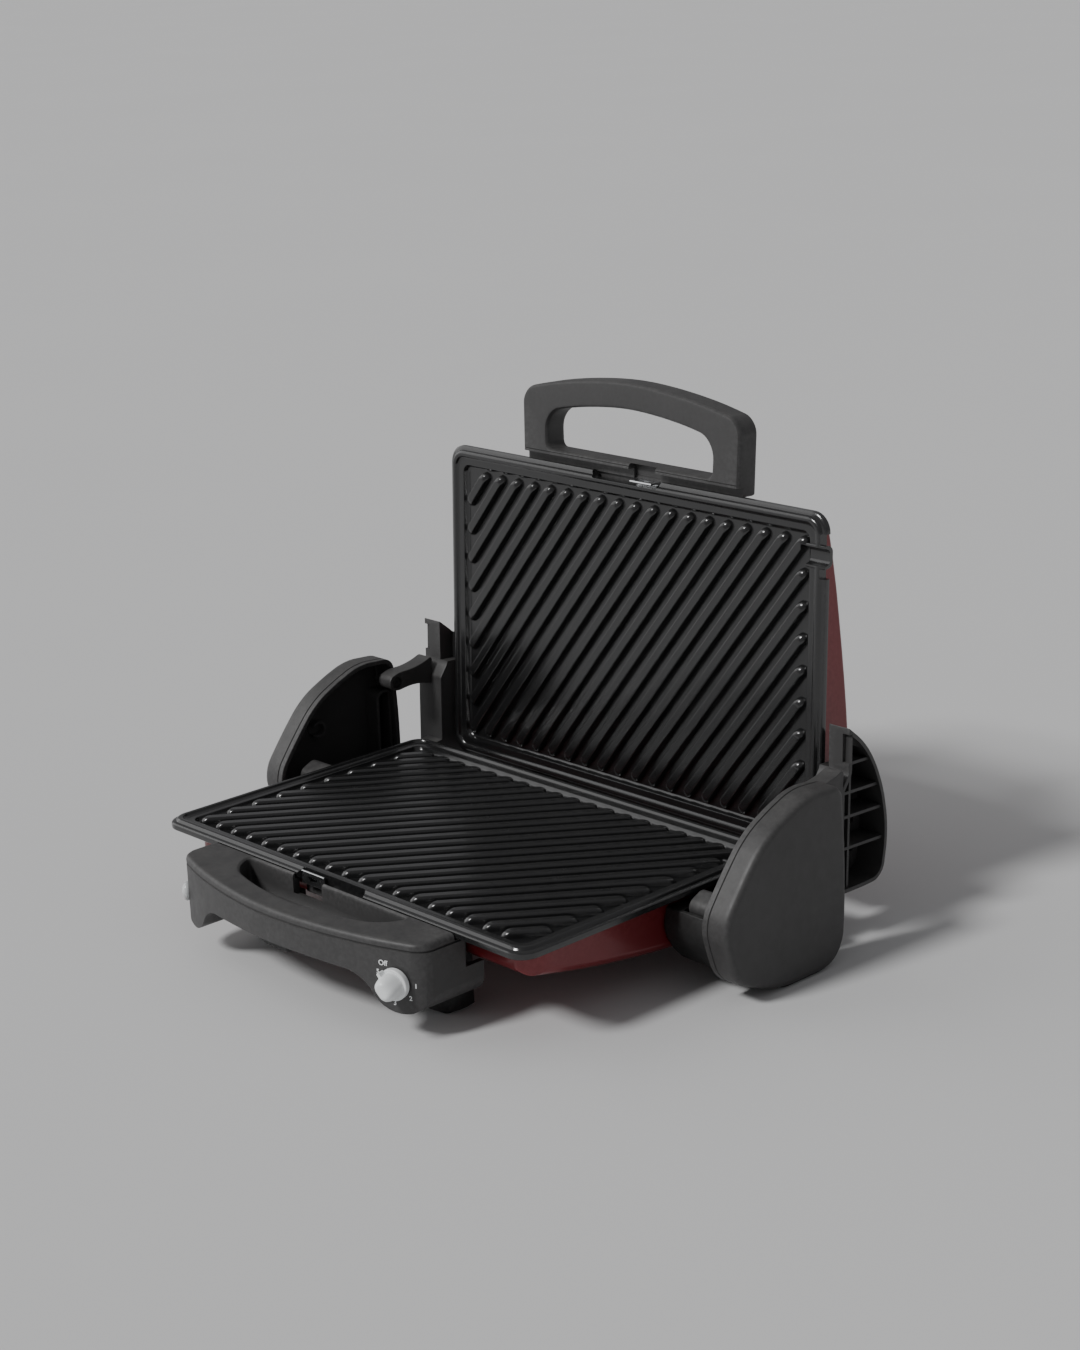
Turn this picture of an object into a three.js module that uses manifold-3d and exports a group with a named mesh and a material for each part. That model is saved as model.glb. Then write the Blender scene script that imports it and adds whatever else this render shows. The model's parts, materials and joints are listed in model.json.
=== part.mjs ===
// A panini press (contact grill) with its lid open.
// Millimetres. +X right, +Y to the back, +Z up. The origin is under the middle of its box.
import * as THREE from 'three';
import { mergeVertices } from 'three/addons/utils/BufferGeometryUtils.js';
import Module from 'manifold-3d';

const wasm = await Module();
wasm.setup();

// ---------- driving dimensions ----------

const GAP = 0.3;                    // clearance between pieces that touch
const GROUND = -60;                 // height of the worktop below the lower cooking rim
const DEEP = 400;                   // longer than any piece, for cutting tools

// Cooking plates, both the same casting.
const PLATE_HALF_X = 153;           // rim crest to the plate's centre
const PLATE_HALF_Y = 98;
const LIP = 5;                      // the outer lip beyond the rim crest
const LIP_DROP = 2;                 // the lip's top below the crest
const FIELD_INSET = 8;              // from the crest to the sunken field
const FIELD_DEPTH = 5;
const PLATE_DEPTH = 9;              // from the crest to the underside
const RIB_ANGLE = 52;               // degrees from the X axis
const RIB_PITCH = 11.7;
const RIB_WIDTH = 6;
const RIB_TOP = -0.9;
const RECESS_HALF_X = 28;           // the rim steps back here for the release latch
const SPOUT_WIDTH = 14;

// Lid hinge.
const HINGE_Y = 107.3;
const HINGE_Z = -21.6;
const LEAN = THREE.MathUtils.degToRad(2.6);   // the open lid leans back this much
const SHUT_GAP = 1;                 // between the two rim crests when shut
const LID_OUT = SHUT_GAP - HINGE_Z;           // from the hinge to the upper rim, square to the plate
const LID_UP = HINGE_Y - PLATE_HALF_Y;        // from the hinge to the upper rim, along the plate
const SHAFT_R = 4;
const LUG_R = 11;
const FLOAT = 10;                   // how far the lid lifts off its arms for thick food

// Side structure, measured outwards from the middle.
const BASE_HALF_X = 148;
const BRACKET_IN = 148.6;
const BRACKET_OUT = 182.4;
const ARM_IN = 160;
const ARM_OUT = 182;
const POD_IN = 183;
const POD_OUT = 201;
const WALL = 3;
const BUSH_R = 6;
const BRACKET_SCREWS = [[40, -20], [84, -20]];        // y, z of the screws into the base's sides
const POD_SCREWS = [[66, -48], [86, -46]];            // y, z of the screws through the bracket into the pod
const SCREW_BORE_R = 2.1;
const POST_R = 4.5;
const PAD_TOP = GROUND + 1.6;

// Base shell.
const BASE_TOP = -9.4;
const BASE_FRONT = -90;
const BASE_BACK = 114;
const BASE_BOTTOM = -44;
const SHELL_WALL = 2;
const GLAND_X = -96;
const GLAND_Z = -34;
const GLAND_BORE_R = 3.6;
const DECK_FRONT = 101;             // the base is closed on top from here to its back

// Front handle with the knob, the lamp and the lock.
const HANDLE_TOP = -3;
const HANDLE_HALF_X = 106;
const HANDLE_REAR = -83.5;
const HANDLE_CORNER = -127;         // y of the two front corners
const HANDLE_BOW = -164;            // y that the bowed front is drawn towards
const POCKET_FLOOR = -19.5;
const KNOB_X = 90;
const KNOB_Y = -132.4;
const KNOB_Z = -26.5;
const KNOB_TURN = THREE.MathUtils.degToRad(17);       // the bowed face looks this far sideways
const KNOB_REST = THREE.MathUtils.degToRad(-38);      // the pointer stands here when off
const DISC_R = 9;
const GRIP_LONG = 14.6;
const LENS_R = 5;
const LENS_TALL = 1.16;
const LENS_X = 103.8;
const LENS_Y = -127.2;
const LENS_TURN = THREE.MathUtils.degToRad(45);       // the corner it sits on looks this far sideways

// Lid, in its own frame: y out of the plate's back, z from the hinge end to the handle end.
const LID_TOP = 199;                // the shell's handle end
const LID_FOOT = -6;                // the shell's hinge end
const LID_FACE = 9.6;               // the shell's open face, behind the plate's rim
const STUDS = [[13, 1.5], [13, 19]];        // y, z
const STUD_ROOM = 3.4;              // half the width of the slot that a stud slides in
const PIN_Y = -36.5;
const PIN_Z = 46;
const RIB_HEIGHTS = [9.5, 28.5, 43, 60];
const RIB_HALF = 0.9;               // half the thickness of an arm's rib
const HEAD_ROOM = 5.6;              // half the width that a stud's head needs
const ARM_WEB = 3;
const LUG_LONG = 14;

// Heating elements and reflectors.
const ELEMENT_R = 3;
const ELEMENT_HALF_X = 118;
const ELEMENT_Z = -13.2;
const REFLECTOR_HALF_X = 134;

const CORNER_STEPS = 3;
const BOW_STEPS = 8;                // for long bowed outlines
const ROD_SIDES = 12;

// ---------- materials ----------

const paint = (color, roughness, metalness = 0) =>
  new THREE.MeshStandardMaterial({ color, roughness, metalness });
const RED = paint(0x6e1a20, 0.38, 0.3);
const BLACK = paint(0x3a3a3b, 0.55);
const DARK = paint(0x1b1b1c, 0.6);
const NONSTICK = paint(0x2b2b2d, 0.35, 0.4);
const STEEL = paint(0xb9bcbe, 0.3, 1);
const BRIGHT = paint(0xd8dada, 0.25, 1);
const WHITE = paint(0xdde0df, 0.35);
const LENS = paint(0xe6ecec, 0.15);
const RUBBER = paint(0x151515, 0.9);
const BRASS = paint(0xb08d4a, 0.35, 1);

// ---------- shape helpers ----------

// A closed outline through corners [u, v, rounding]. A corner is rounded over that length of both sides,
// less where its neighbour's rounding needs the same stretch.
function outline(corners) {
  const shape = new THREE.Shape();
  const stepTowards = ([u, v, mine = 0], [otherU, otherV, other = 0]) => {
    const step = new THREE.Vector2(otherU - u, otherV - v);
    const share = Math.min(1, 0.98 * step.length() / Math.max(mine + other, 0.01));
    return step.setLength(mine * share);
  };
  corners.forEach((corner, i) => {
    const [u, v, rounding = 0] = corner;
    const start = stepTowards(corner, corners[(i + corners.length - 1) % corners.length]);
    const end = stepTowards(corner, corners[(i + 1) % corners.length]);
    if (i === 0) shape.moveTo(u + start.x, v + start.y);
    else shape.lineTo(u + start.x, v + start.y);
    if (rounding > 0) shape.quadraticCurveTo(u, v, u + end.x, v + end.y);
  });
  return shape;
}

const rectangle = (u0, v0, u1, v1, rounding = 0) =>
  outline([[u0, v0, rounding], [u1, v0, rounding], [u1, v1, rounding], [u0, v1, rounding]]);

const slab = (halfX, halfY, rounding) => rectangle(-halfX, -halfY, halfX, halfY, rounding);

function solid(geometry) {
  geometry.deleteAttribute('normal');
  geometry.deleteAttribute('uv');
  const merged = mergeVertices(geometry, 1e-4);
  const vertProperties = merged.attributes.position.array;
  const triVerts = merged.index.array;
  return new wasm.Manifold(new wasm.Mesh({ numProp: 3, vertProperties, triVerts }));
}

const X = new THREE.Vector3(1, 0, 0);
const Y = new THREE.Vector3(0, 1, 0);
const Z = new THREE.Vector3(0, 0, 1);

// An outline pushed along one axis. Outlines are (y, z) along x, (x, z) along y and (x, y) along z.
function prism(axis, shape, from, to, bevel = 0, curveSegments = CORNER_STEPS) {
  const geometry = new THREE.ExtrudeGeometry(shape, {
    depth: to - from - 2 * bevel,
    curveSegments,
    bevelEnabled: bevel > 0,
    bevelThickness: bevel,
    bevelSize: bevel,
    bevelOffset: -bevel,
    bevelSegments: 1,
  });
  geometry.translate(0, 0, bevel + (axis === 'y' ? -to : from));
  const turn = new THREE.Matrix4();
  if (axis === 'x') turn.makeBasis(Y, Z, X);
  if (axis === 'y') turn.makeBasis(X, Z, Y.clone().negate());
  geometry.applyMatrix4(turn);
  return solid(geometry);
}

// A round bar along one axis through (u, v), which are the two other coordinates in x, y, z order.
function rod(axis, radius, [u, v], from, to, sides = ROD_SIDES, endRadius = radius) {
  const geometry = new THREE.CylinderGeometry(endRadius, radius, to - from, sides);
  geometry.translate(0, (from + to) / 2, 0);
  if (axis === 'x') geometry.applyMatrix4(new THREE.Matrix4().makeBasis(Y, X, Z.clone().negate()));
  if (axis === 'z') geometry.applyMatrix4(new THREE.Matrix4().makeBasis(X, Z, Y.clone().negate()));
  if (axis === 'x') geometry.translate(0, u, v);
  if (axis === 'y') geometry.translate(u, 0, v);
  if (axis === 'z') geometry.translate(u, v, 0);
  return solid(geometry);
}

const box = (x0, y0, z0, x1, y1, z1) => prism('z', rectangle(x0, y0, x1, y1), z0, z1);
const join = (first, ...rest) => rest.reduce((sum, piece) => sum.add(piece), first);
const cut = (first, ...rest) => rest.reduce((sum, piece) => sum.subtract(piece), first);
const common = (first, ...rest) => rest.reduce((sum, piece) => sum.intersect(piece), first);

// The stretch from `inner` to `outer` on one side of the middle, for side 1 (right) or -1 (left).
const reach = (side, inner, outer) => (side > 0 ? [inner, outer] : [-outer, -inner]);

function addPiece(parent, name, body, material) {
  const { vertProperties, triVerts } = body.getMesh();
  const geometry = new THREE.BufferGeometry();
  geometry.setAttribute('position', new THREE.BufferAttribute(vertProperties, 3));
  geometry.setIndex(new THREE.BufferAttribute(triVerts, 1));
  geometry.computeVertexNormals();
  const piece = new THREE.Mesh(geometry, material);
  piece.name = name;
  parent.add(piece);
  return piece;
}

const SIDES = [[1, 'right'], [-1, 'left']];

// ---------- cooking plates ----------

// One plate, rim crest at z = 0, cooking side up. `latchEnd` is the end (1 or -1 in y) with the latch.
function cookingPlate(latchEnd, spoutY) {
  const lipX = PLATE_HALF_X + LIP;
  const lipY = PLATE_HALF_Y + LIP;
  const fieldX = PLATE_HALF_X - FIELD_INSET;
  const fieldY = PLATE_HALF_Y - FIELD_INSET;
  const lip = prism('z', slab(lipX, lipY, 12), -6.5, -LIP_DROP);
  const crest = prism('z', slab(PLATE_HALF_X + 2, PLATE_HALF_Y + 2, 10), -6.5, 0);
  const belly = prism('z', slab(fieldX + 2, fieldY + 2, 8), -PLATE_DEPTH, -6);
  const groove = prism('z', slab(PLATE_HALF_X - 2, PLATE_HALF_Y - 2, 7), -1.8, DEEP);
  const field = prism('z', slab(fieldX, fieldY, 5), -FIELD_DEPTH, DEEP);
  const latchY = latchEnd * (PLATE_HALF_Y + LIP);
  const recess = box(-RECESS_HALF_X, latchY - 4, -DEEP, RECESS_HALF_X, latchY + 4, DEEP);
  const spoutFrom = PLATE_HALF_X - FIELD_INSET - 1;
  const spoutEnd = lipX + 0.8;
  const spout = box(spoutFrom, spoutY - SPOUT_WIDTH / 2, -8, spoutEnd, spoutY + SPOUT_WIDTH / 2, 0);
  const channel = box(spoutFrom - 1, spoutY - 4, -4, spoutEnd + 1, spoutY + 4, 1);
  const aside = box(PLATE_HALF_X + 1.4, spoutY - SPOUT_WIDTH, -DEEP, DEEP, spoutY + SPOUT_WIDTH, DEEP);
  const plate = cut(join(lip, crest, belly), groove, field, recess, aside);
  return join(cut(join(plate, spout), channel), cookingRibs(fieldX - 3, fieldY - 3));
}

function cookingRibs(halfX, halfY) {
  const turn = THREE.MathUtils.degToRad(RIB_ANGLE);
  const along = new THREE.Vector2(Math.cos(turn), Math.sin(turn));
  const across = new THREE.Vector2(-along.y, along.x);
  const last = Math.floor((halfX * along.y + halfY * along.x) / RIB_PITCH);
  const ribs = [];
  for (let i = -last; i <= last; i += 1) {
    const middle = across.clone().multiplyScalar(i * RIB_PITCH);
    // The rib runs from side to side of the field, or less where it meets a front or back edge first.
    const spans = [[halfX, middle.x, along.x], [halfY, middle.y, along.y]];
    const start = Math.max(...spans.map(([half, at, slope]) => (-half - at) / slope));
    const end = Math.min(...spans.map(([half, at, slope]) => (half - at) / slope));
    if (end - start < 2 * RIB_WIDTH) continue;
    const point = (t, side) => {
      const p = middle.clone().addScaledVector(along, t).addScaledVector(across, side * RIB_WIDTH / 2);
      return [p.x, p.y, 0];
    };
    const corner = RIB_WIDTH / 3;
    const rib = outline([
      point(start + corner, -1), point(end - corner, -1), point(end, -0.3), point(end, 0.3),
      point(end - corner, 1), point(start + corner, 1), point(start, 0.3), point(start, -0.3),
    ]);
    ribs.push(prism('z', rib, -FIELD_DEPTH - 1, RIB_TOP));
  }
  return join(...ribs);
}

// A sheathed heating element bent into a loop, both ends turned down at the back.
function heatingElement(halfX, halfY, z, drop) {
  const bend = 22;
  const points = [
    [-20, halfY, z - drop], [-20, halfY - 4, z], [-20, halfY - bend, z], [-halfX + bend, halfY - bend, z],
    [-halfX, 0, z], [-halfX + bend, -halfY + bend, z], [0, -halfY, z], [halfX - bend, -halfY + bend, z],
    [halfX, 0, z], [halfX - bend, halfY - bend, z], [20, halfY - bend, z], [20, halfY - 4, z],
    [20, halfY, z - drop],
  ].map(([x, y, height]) => new THREE.Vector3(x, y, height));
  const extrudePath = new THREE.CatmullRomCurve3(points, false, 'centripetal');
  const section = new THREE.Shape().absarc(0, 0, ELEMENT_R, 0, 2 * Math.PI);
  return solid(new THREE.ExtrudeGeometry(section, { steps: 36, curveSegments: 3, extrudePath }));
}

// An open tray with a flat floor and thin walls.
function tray(halfX, y0, y1, z0, z1, wall) {
  const outer = box(-halfX, y0, z0, halfX, y1, z1);
  return cut(outer, box(-halfX + wall, y0 + wall, z0 + wall, halfX - wall, y1 - wall, DEEP));
}

// ---------- base ----------

function baseForm(inset, top) {
  const halfX = BASE_HALF_X - inset;
  const front = BASE_FRONT + inset;
  const back = BASE_BACK - inset;
  const bottom = BASE_BOTTOM + inset;
  const plan = outline([
    [-halfX, front, 18], [halfX, front, 18], [halfX, back, 10], [-halfX, back, 10],
  ]);
  const profile = outline([
    [front, top], [front, -22 + inset, 7], [-25, -36 + inset, 40], [40, bottom + 2, 30], [back, bottom, 14],
    [back, top],
  ]);
  const section = outline([
    [-halfX, top], [-halfX, bottom, 8], [halfX, bottom, 8], [halfX, top],
  ]);
  return common(
    prism('z', plan, -DEEP, DEEP),
    prism('x', profile, -DEEP, DEEP),
    prism('y', section, -DEEP, DEEP),
  );
}

function baseShell() {
  const openTop = box(-DEEP, -DEEP, -DEEP, DEEP, DECK_FRONT, DEEP);
  const underDeck = box(-DEEP, 90, -DEEP, DEEP, DEEP, BASE_TOP - SHELL_WALL);
  const hollow = common(baseForm(SHELL_WALL, DEEP), join(openTop, underDeck));
  const shaftHoles = rod('x', SHAFT_R + 0.6, [HINGE_Y, HINGE_Z], -DEEP, DEEP);
  const glandHole = rod('y', 6.4, [GLAND_X, GLAND_Z], 90, DEEP);
  return cut(baseForm(0, BASE_TOP), hollow, shaftHoles, glandHole, ...screwHoles());
}

// The side outline of the pods: a shell shape with a long curved front and a flat foot.
function podOutline(inset) {
  return outline([
    [104 - inset, 47 - inset, 9], [76, 49 - inset, 16], [37 + inset / 2, 31 - inset / 2, 20],
    [4 + inset, -9, 24], [16 + inset / 2, -46 + inset / 2, 16], [50, -59.6 + inset, 12],
    [93, -59.6 + inset, 8], [105 - inset, -49 + inset / 2, 9], [108.5 - inset, -8, 30],
  ]);
}

function pod(side) {
  const outer = prism('x', podOutline(0), ...reach(side, POD_IN, POD_OUT), 2);
  const trim = prism('x', podOutline(0), ...reach(side, POD_IN, POD_IN + 4));
  const hollow = prism('x', podOutline(WALL), ...reach(side, POD_IN - 5, POD_OUT - WALL));
  const bosses = POD_SCREWS.map((at) => rod('x', POST_R, at, ...reach(side, POD_IN + 0.2, POD_OUT - 1)));
  const catchRing = rod('x', 5.2, [47, 10], ...reach(side, POD_OUT - 8, POD_OUT - 1));
  const catchBore = rod('x', 3.4, [47, 10], ...reach(side, POD_OUT - 9, POD_OUT - WALL));
  const bores = POD_SCREWS.map((at) => rod('x', SCREW_BORE_R, at, ...reach(side, POD_IN - 1, POD_OUT - 6)));
  const shell = cut(join(outer, trim), hollow);
  return cut(join(shell, ...bosses, catchRing), catchBore, ...bores, rearPadPocket(side));
}

// The cup between base and pod. The lid arm's limb swings inside it.
function bracketOutline(inset) {
  return outline([
    [14 + inset, -12], [11 + inset, -24, 6], [20 + inset / 2, -43 + inset / 2, 14], [48, -57.6 + inset, 12],
    [93, -57.6 + inset, 8], [104 - inset / 2, -47 + inset / 2, 8], [112 - inset, -40], [112 - inset, -12],
  ]);
}

function bracket(side) {
  const cup = prism('x', bracketOutline(0), ...reach(side, BRACKET_IN, BRACKET_OUT), 1);
  const ear = rod('x', 14, [HINGE_Y, HINGE_Z], ...reach(side, BRACKET_IN, ARM_IN - 1));
  const room = prism('x', bracketOutline(WALL), ...reach(side, ARM_IN - 0.8, POD_OUT));
  const rearRoom = box(...boxOn(side, ARM_IN - 0.8, 90, -36.5, POD_OUT, 130, 20));
  const sweep = box(...boxOn(side, ARM_IN - 0.8, 46, -30, POD_OUT, 130, 20));
  const openTop = box(...boxOn(side, ARM_IN - 0.8, 20, -13, POD_OUT, 130, 20));
  const posts = POD_SCREWS.map((at) => rod('x', POST_R, at, ...reach(side, ARM_IN - 2, BRACKET_OUT)));
  const hollow = join(room, rearRoom, sweep, openTop);
  const body = join(cut(join(cup, ear), hollow), ...posts);
  const bore = rod('x', BUSH_R + 0.2, [HINGE_Y, HINGE_Z], ...reach(side, BRACKET_IN - 1, ARM_IN));
  const screwBore = (at) => rod('x', SCREW_BORE_R, at, ...reach(side, BRACKET_IN - 1, POD_IN));
  return cut(body, bore, ...[...BRACKET_SCREWS, ...POD_SCREWS].map(screwBore), rearPadPocket(side));
}

// x, y, z limits of a box on one side, given its inner and outer distance from the middle.
function boxOn(side, inner, y0, z0, outer, y1, z1) {
  const [x0, x1] = reach(side, inner, outer);
  return [x0, y0, z0, x1, y1, z1];
}

const rearPadPocket = (side) => box(...boxOn(side, 158, 53, GROUND - 5, 199, 91, PAD_TOP + GAP));

// Clearance holes in the base's side walls for the bracket screws.
function screwHoles() {
  return BRACKET_SCREWS.map((at) => rod('x', 2.2, at, -DEEP, DEEP));
}

// A pan-head screw along x, its head at `headX` and its tip at `tipX`.
function sideScrew([y, z], headX, tipX) {
  const toTip = Math.sign(tipX - headX);
  const shoulder = headX + 2.2 * toTip;
  const head = rod('x', 3.6, [y, z], Math.min(headX, shoulder), Math.max(headX, shoulder), 12);
  const shank = rod('x', 1.7, [y, z], Math.min(shoulder, tipX) - 0.1, Math.max(shoulder, tipX) + 0.1, 8);
  return join(head, shank);
}

function rearPad(side) {
  return prism('z', rectangle(...padSpan(side), 6), GROUND, PAD_TOP);
}

function padSpan(side) {
  const [x0, x1] = reach(side, 158.6, 198.4);
  return [x0, 53.6, x1, 90.4];
}

function frontFoot(side) {
  const [x0, x1] = reach(side, 58, 88);
  const block = prism('z', rectangle(x0, -97, x1, -71, 10), GROUND + 1.6, -22);
  const clearBase = common(baseForm(-GAP, DEEP), prism('z', slab(DEEP, DEEP, 0), -DEEP, DEEP));
  const clearHandle = box(-DEEP, -DEEP, -42.6, DEEP, HANDLE_REAR + 1, DEEP);
  return cut(block, clearBase, clearHandle, box(x0 + 3, -94, -DEEP, x1 - 3, -74, GROUND + 3.4));
}

function frontPad(side) {
  const [x0, x1] = reach(side, 61.4, 84.6);
  return prism('z', rectangle(x0, -93.6, x1, -74.4, 3), GROUND, GROUND + 3);
}

// Where the mains lead would leave the base.
function cordGland() {
  const flange = rod('y', 10, [GLAND_X, GLAND_Z], BASE_BACK + GAP, BASE_BACK + 3);
  const neck = rod('y', 6, [GLAND_X, GLAND_Z], DECK_FRONT, BASE_BACK + 1);
  const nose = rod('y', 6.5, [GLAND_X, GLAND_Z], BASE_BACK + 2.5, BASE_BACK + 14, ROD_SIDES, 5);
  const bore = rod('y', GLAND_BORE_R, [GLAND_X, GLAND_Z], 90, BASE_BACK + 30);
  return cut(join(flange, neck, nose), bore);
}

// The soft-cornered stop that carries the arm when the lid is down.
function lidRest(side) {
  const post = outline([[18, -9, 6], [34, -2, 6], [37, -14, 3], [24, -22, 3]]);
  return prism('x', post, ...reach(side, ARM_IN + 0.4, ARM_OUT - 1));
}

function hingeBush(side) {
  const sleeve = rod('x', BUSH_R, [HINGE_Y, HINGE_Z], ...reach(side, BRACKET_IN, ARM_IN - GAP));
  return cut(sleeve, rod('x', SHAFT_R + 0.35, [HINGE_Y, HINGE_Z], ...reach(side, 140, 170)));
}

// ---------- front handle with the controls ----------

function handlePlan(inset) {
  const halfX = HANDLE_HALF_X - inset;
  const corner = HANDLE_CORNER + inset;
  return outline([
    [-halfX, HANDLE_REAR], [-halfX, corner, 8], [0, HANDLE_BOW + inset, 98], [halfX, corner, 8],
    [halfX, HANDLE_REAR],
  ]);
}

function frontHandle() {
  const front = outline([
    [-106, HANDLE_TOP], [-105, -42, 9], [-84, -46, 11], [-68, -25, 10], [0, -22, 40],
    [68, -25, 10], [84, -46, 11], [105, -42, 9], [106, HANDLE_TOP],
  ]);
  const side = outline([
    [-DEEP, -DEEP], [-118, -DEEP], [-118, -47, 7], [-108, -41.5, 5], [0, -41.5], [0, 40], [-DEEP, 40],
  ]);
  const body = common(
    prism('z', handlePlan(0), -60, HANDLE_TOP, 0, BOW_STEPS),
    prism('y', front, -DEEP, 0),
    prism('x', side, -DEEP, DEEP),
  );
  const underPlate = join(box(-DEEP, -103.6, -7, DEEP, 0, DEEP), box(-DEEP, -93, -9.4, DEEP, 0, DEEP));
  const latchRoom = box(-30, -105.7, -16, -4, -94, DEEP);
  const pocket = prism('z', outline([
    [-70, -105.6, 5], [-63, -121, 11], [0, -139, 50], [63, -121, 11], [70, -105.6, 5],
  ]), POCKET_FLOOR, DEEP, 0, BOW_STEPS);
  const rear = box(-102, -101, -20, 102, HANDLE_REAR + 5, -8.5);
  const cavity = (x0, x1) => box(x0, -121, -39.5, x1, 0, -8.5);
  const sliderSlot = box(-20, -136.2, -26, 24, -130.8, -14);
  const cavities = [rear, cavity(74, 102.5), cavity(-102.5, -74)];
  const holes = [sliderSlot, knobBore(3.6, 40), lampBore(), lensSeat()];
  return cut(body, baseForm(-0.5, DEEP), underPlate, latchRoom, pocket, ...cavities, ...holes);
}

// A bar through the bowed face at the knob, square to it.
function knobBore(radius, length) {
  const geometry = new THREE.CylinderGeometry(radius, radius, length, ROD_SIDES);
  geometry.rotateZ(KNOB_TURN);
  geometry.translate(KNOB_X, KNOB_Y, KNOB_Z);
  return solid(geometry);
}

function lampBore() {
  const geometry = new THREE.CylinderGeometry(2.6, 2.6, 30, ROD_SIDES);
  geometry.rotateZ(-LENS_TURN);
  geometry.translate(-LENS_X, LENS_Y, KNOB_Z);
  return solid(geometry);
}

function lensSeat() {
  const geometry = new THREE.CylinderGeometry(LENS_R + GAP, LENS_R + GAP, 7, 14);
  geometry.scale(1, 1, LENS_TALL);
  geometry.rotateZ(-LENS_TURN);
  geometry.translate(-LENS_X, LENS_Y, KNOB_Z);
  return solid(geometry);
}

function lens() {
  const geometry = new THREE.SphereGeometry(LENS_R, 14, 8);
  geometry.scale(1, 0.64, LENS_TALL);
  geometry.rotateZ(-LENS_TURN);
  geometry.translate(-LENS_X, LENS_Y, KNOB_Z);
  return solid(geometry);
}

// The knob's own frame: its axis is y, its face looks along -y and its grip points up to "Off".
function knob() {
  const disc = rod('y', DISC_R, [0, 0], -4.4, -0.6, 28);
  const gripSide = outline([[-4.4, -8.2, 3.4], [4.4, -8.2, 3.4], [4.4, 5, 2], [0, 9.8, 2], [-4.4, 5, 2]]);
  const grip = prism('y', gripSide, -GRIP_LONG, -4, 0.8);
  const socket = rod('y', 3.3, [0, 0], -10, 1, 12);
  return cut(join(disc, grip), socket);
}

const knobShaft = () => rod('y', 3, [0, 0], -9.5, 8.5, 12);

function thermostat() {
  const body = box(76.5, -111, -37, 100.5, -91, -12);
  const collar = box(84, -116, -32, 94, -110, -20);
  return cut(join(body, collar), knobBore(4.4, 30));
}

const lampHolder = () =>
  join(box(-100, -114, -32, -82, -95, -20), box(-98, -120, -29, -92, -113, -23));

function lockSlider() {
  const tab = prism('z', rectangle(-15, -141, 8, -125.5, 2), -30, -24.8, 0.8);
  const stem = box(-9, -135.6, -25.5, 2, -131.4, -16);
  return join(tab, stem);
}

// A plate's release latch: an upright blade in the rim's recess, with a hook under the rim.
function latch(latchEnd, x0, x1) {
  const block = (from, to, z0, z1, inset) => {
    const [y0, y1] = [latchEnd * from, latchEnd * to].sort((a, b) => a - b);
    return box(x0 + inset, y0, z0, x1 - inset, y1, z1);
  };
  const bladeY = PLATE_HALF_Y + 2.2;
  return join(block(bladeY, bladeY + 1.2, -9, -1, 0), block(bladeY - 5.6, bladeY + 1.2, -9, -7.2, 3));
}

// ---------- lid: x right, y out of the plate's back, z from the hinge end to the handle end ----------

function lidForm(inset) {
  const profile = outline([
    [-DEEP, LID_FOOT + inset], [30, LID_FOOT + inset], [40 - inset, 4 + inset, 8], [38.5 - inset, 60, 20],
    [34 - inset, 98, 20], [24.5 - inset, 153, 20], [15.5 - inset, 190, 8], [12 - inset, LID_TOP - inset, 3],
    [-DEEP, LID_TOP - inset],
  ]);
  const front = outline([
    [-150 + inset, LID_FOOT, 10], [150 - inset, LID_FOOT, 10], [150 - inset, LID_TOP - 2, 14],
    [0, LID_TOP + 3, 60], [-150 + inset, LID_TOP - 2, 14],
  ]);
  const section = outline([
    [-150 + inset, -DEEP], [150 - inset, -DEEP], [150 - inset, 38 - inset, 8], [0, 43 - inset, 100],
    [-150 + inset, 38 - inset, 8],
  ]);
  return common(
    prism('x', profile, -DEEP, DEEP),
    prism('y', front, -DEEP, DEEP),
    prism('z', section, -DEEP, DEEP),
  );
}

function lidShell() {
  const hollow = lidForm(SHELL_WALL);
  const face = box(-DEEP, -DEEP, -DEEP, DEEP, LID_FACE, DEEP);
  const studHoles = STUDS.map((at) => rod('x', 2.3, at, -DEEP, DEEP));
  const tabSlots = SIDES.map(([side]) => handleTab(side, GAP));
  return cut(lidForm(0), hollow, face, ...studHoles, ...tabSlots);
}

// A tab of the handle that hooks into the lid's shell.
function handleTab(side, grow) {
  return box(...boxOn(side, 62 - grow, 9.9 - grow, 184, 84 + grow, 11.6 + grow, LID_TOP + 6));
}

function lidHandle() {
  const base = LID_TOP + 0.6;
  const outer = outline([
    [-90, base], [-91, 245, 10], [0, 266, 84], [91, 245, 10], [90, base],
  ]);
  const inner = outline([
    [-69, 209, 4], [-70, 232, 12], [0, 246, 56], [70, 232, 12], [69, 209, 4],
  ]);
  const loop = prism('y', outer, 2.2, 19, 2.2, 8);
  const gap = prism('y', inner, -DEEP, DEEP, 0, 8);
  const rimRoom = box(-DEEP, -DEEP, -DEEP, DEEP, 7.4, 205.6);
  const latchRoom = box(2, -DEEP, -DEEP, 24, 9.6, 208.9);
  return join(cut(loop, gap, rimRoom, latchRoom), ...SIDES.map(([side]) => handleTab(side, 0)));
}

// The arm: a hollow half-round cover open to the side, a limb with the guide pin, and the hinge lug.
function armOutline(inset) {
  return outline([
    [-7 + inset, -17 + inset], [14, -16.5 + inset, 6], [32 - inset, -15 + inset, 9], [36 - inset, 14, 12],
    [29 - inset, 46, 14], [14 - inset / 2, 70 - inset, 10], [-2 + inset, 82 - inset], [-1.5 + inset, 55],
    [-7.5 + inset, 46],
  ]);
}

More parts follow.
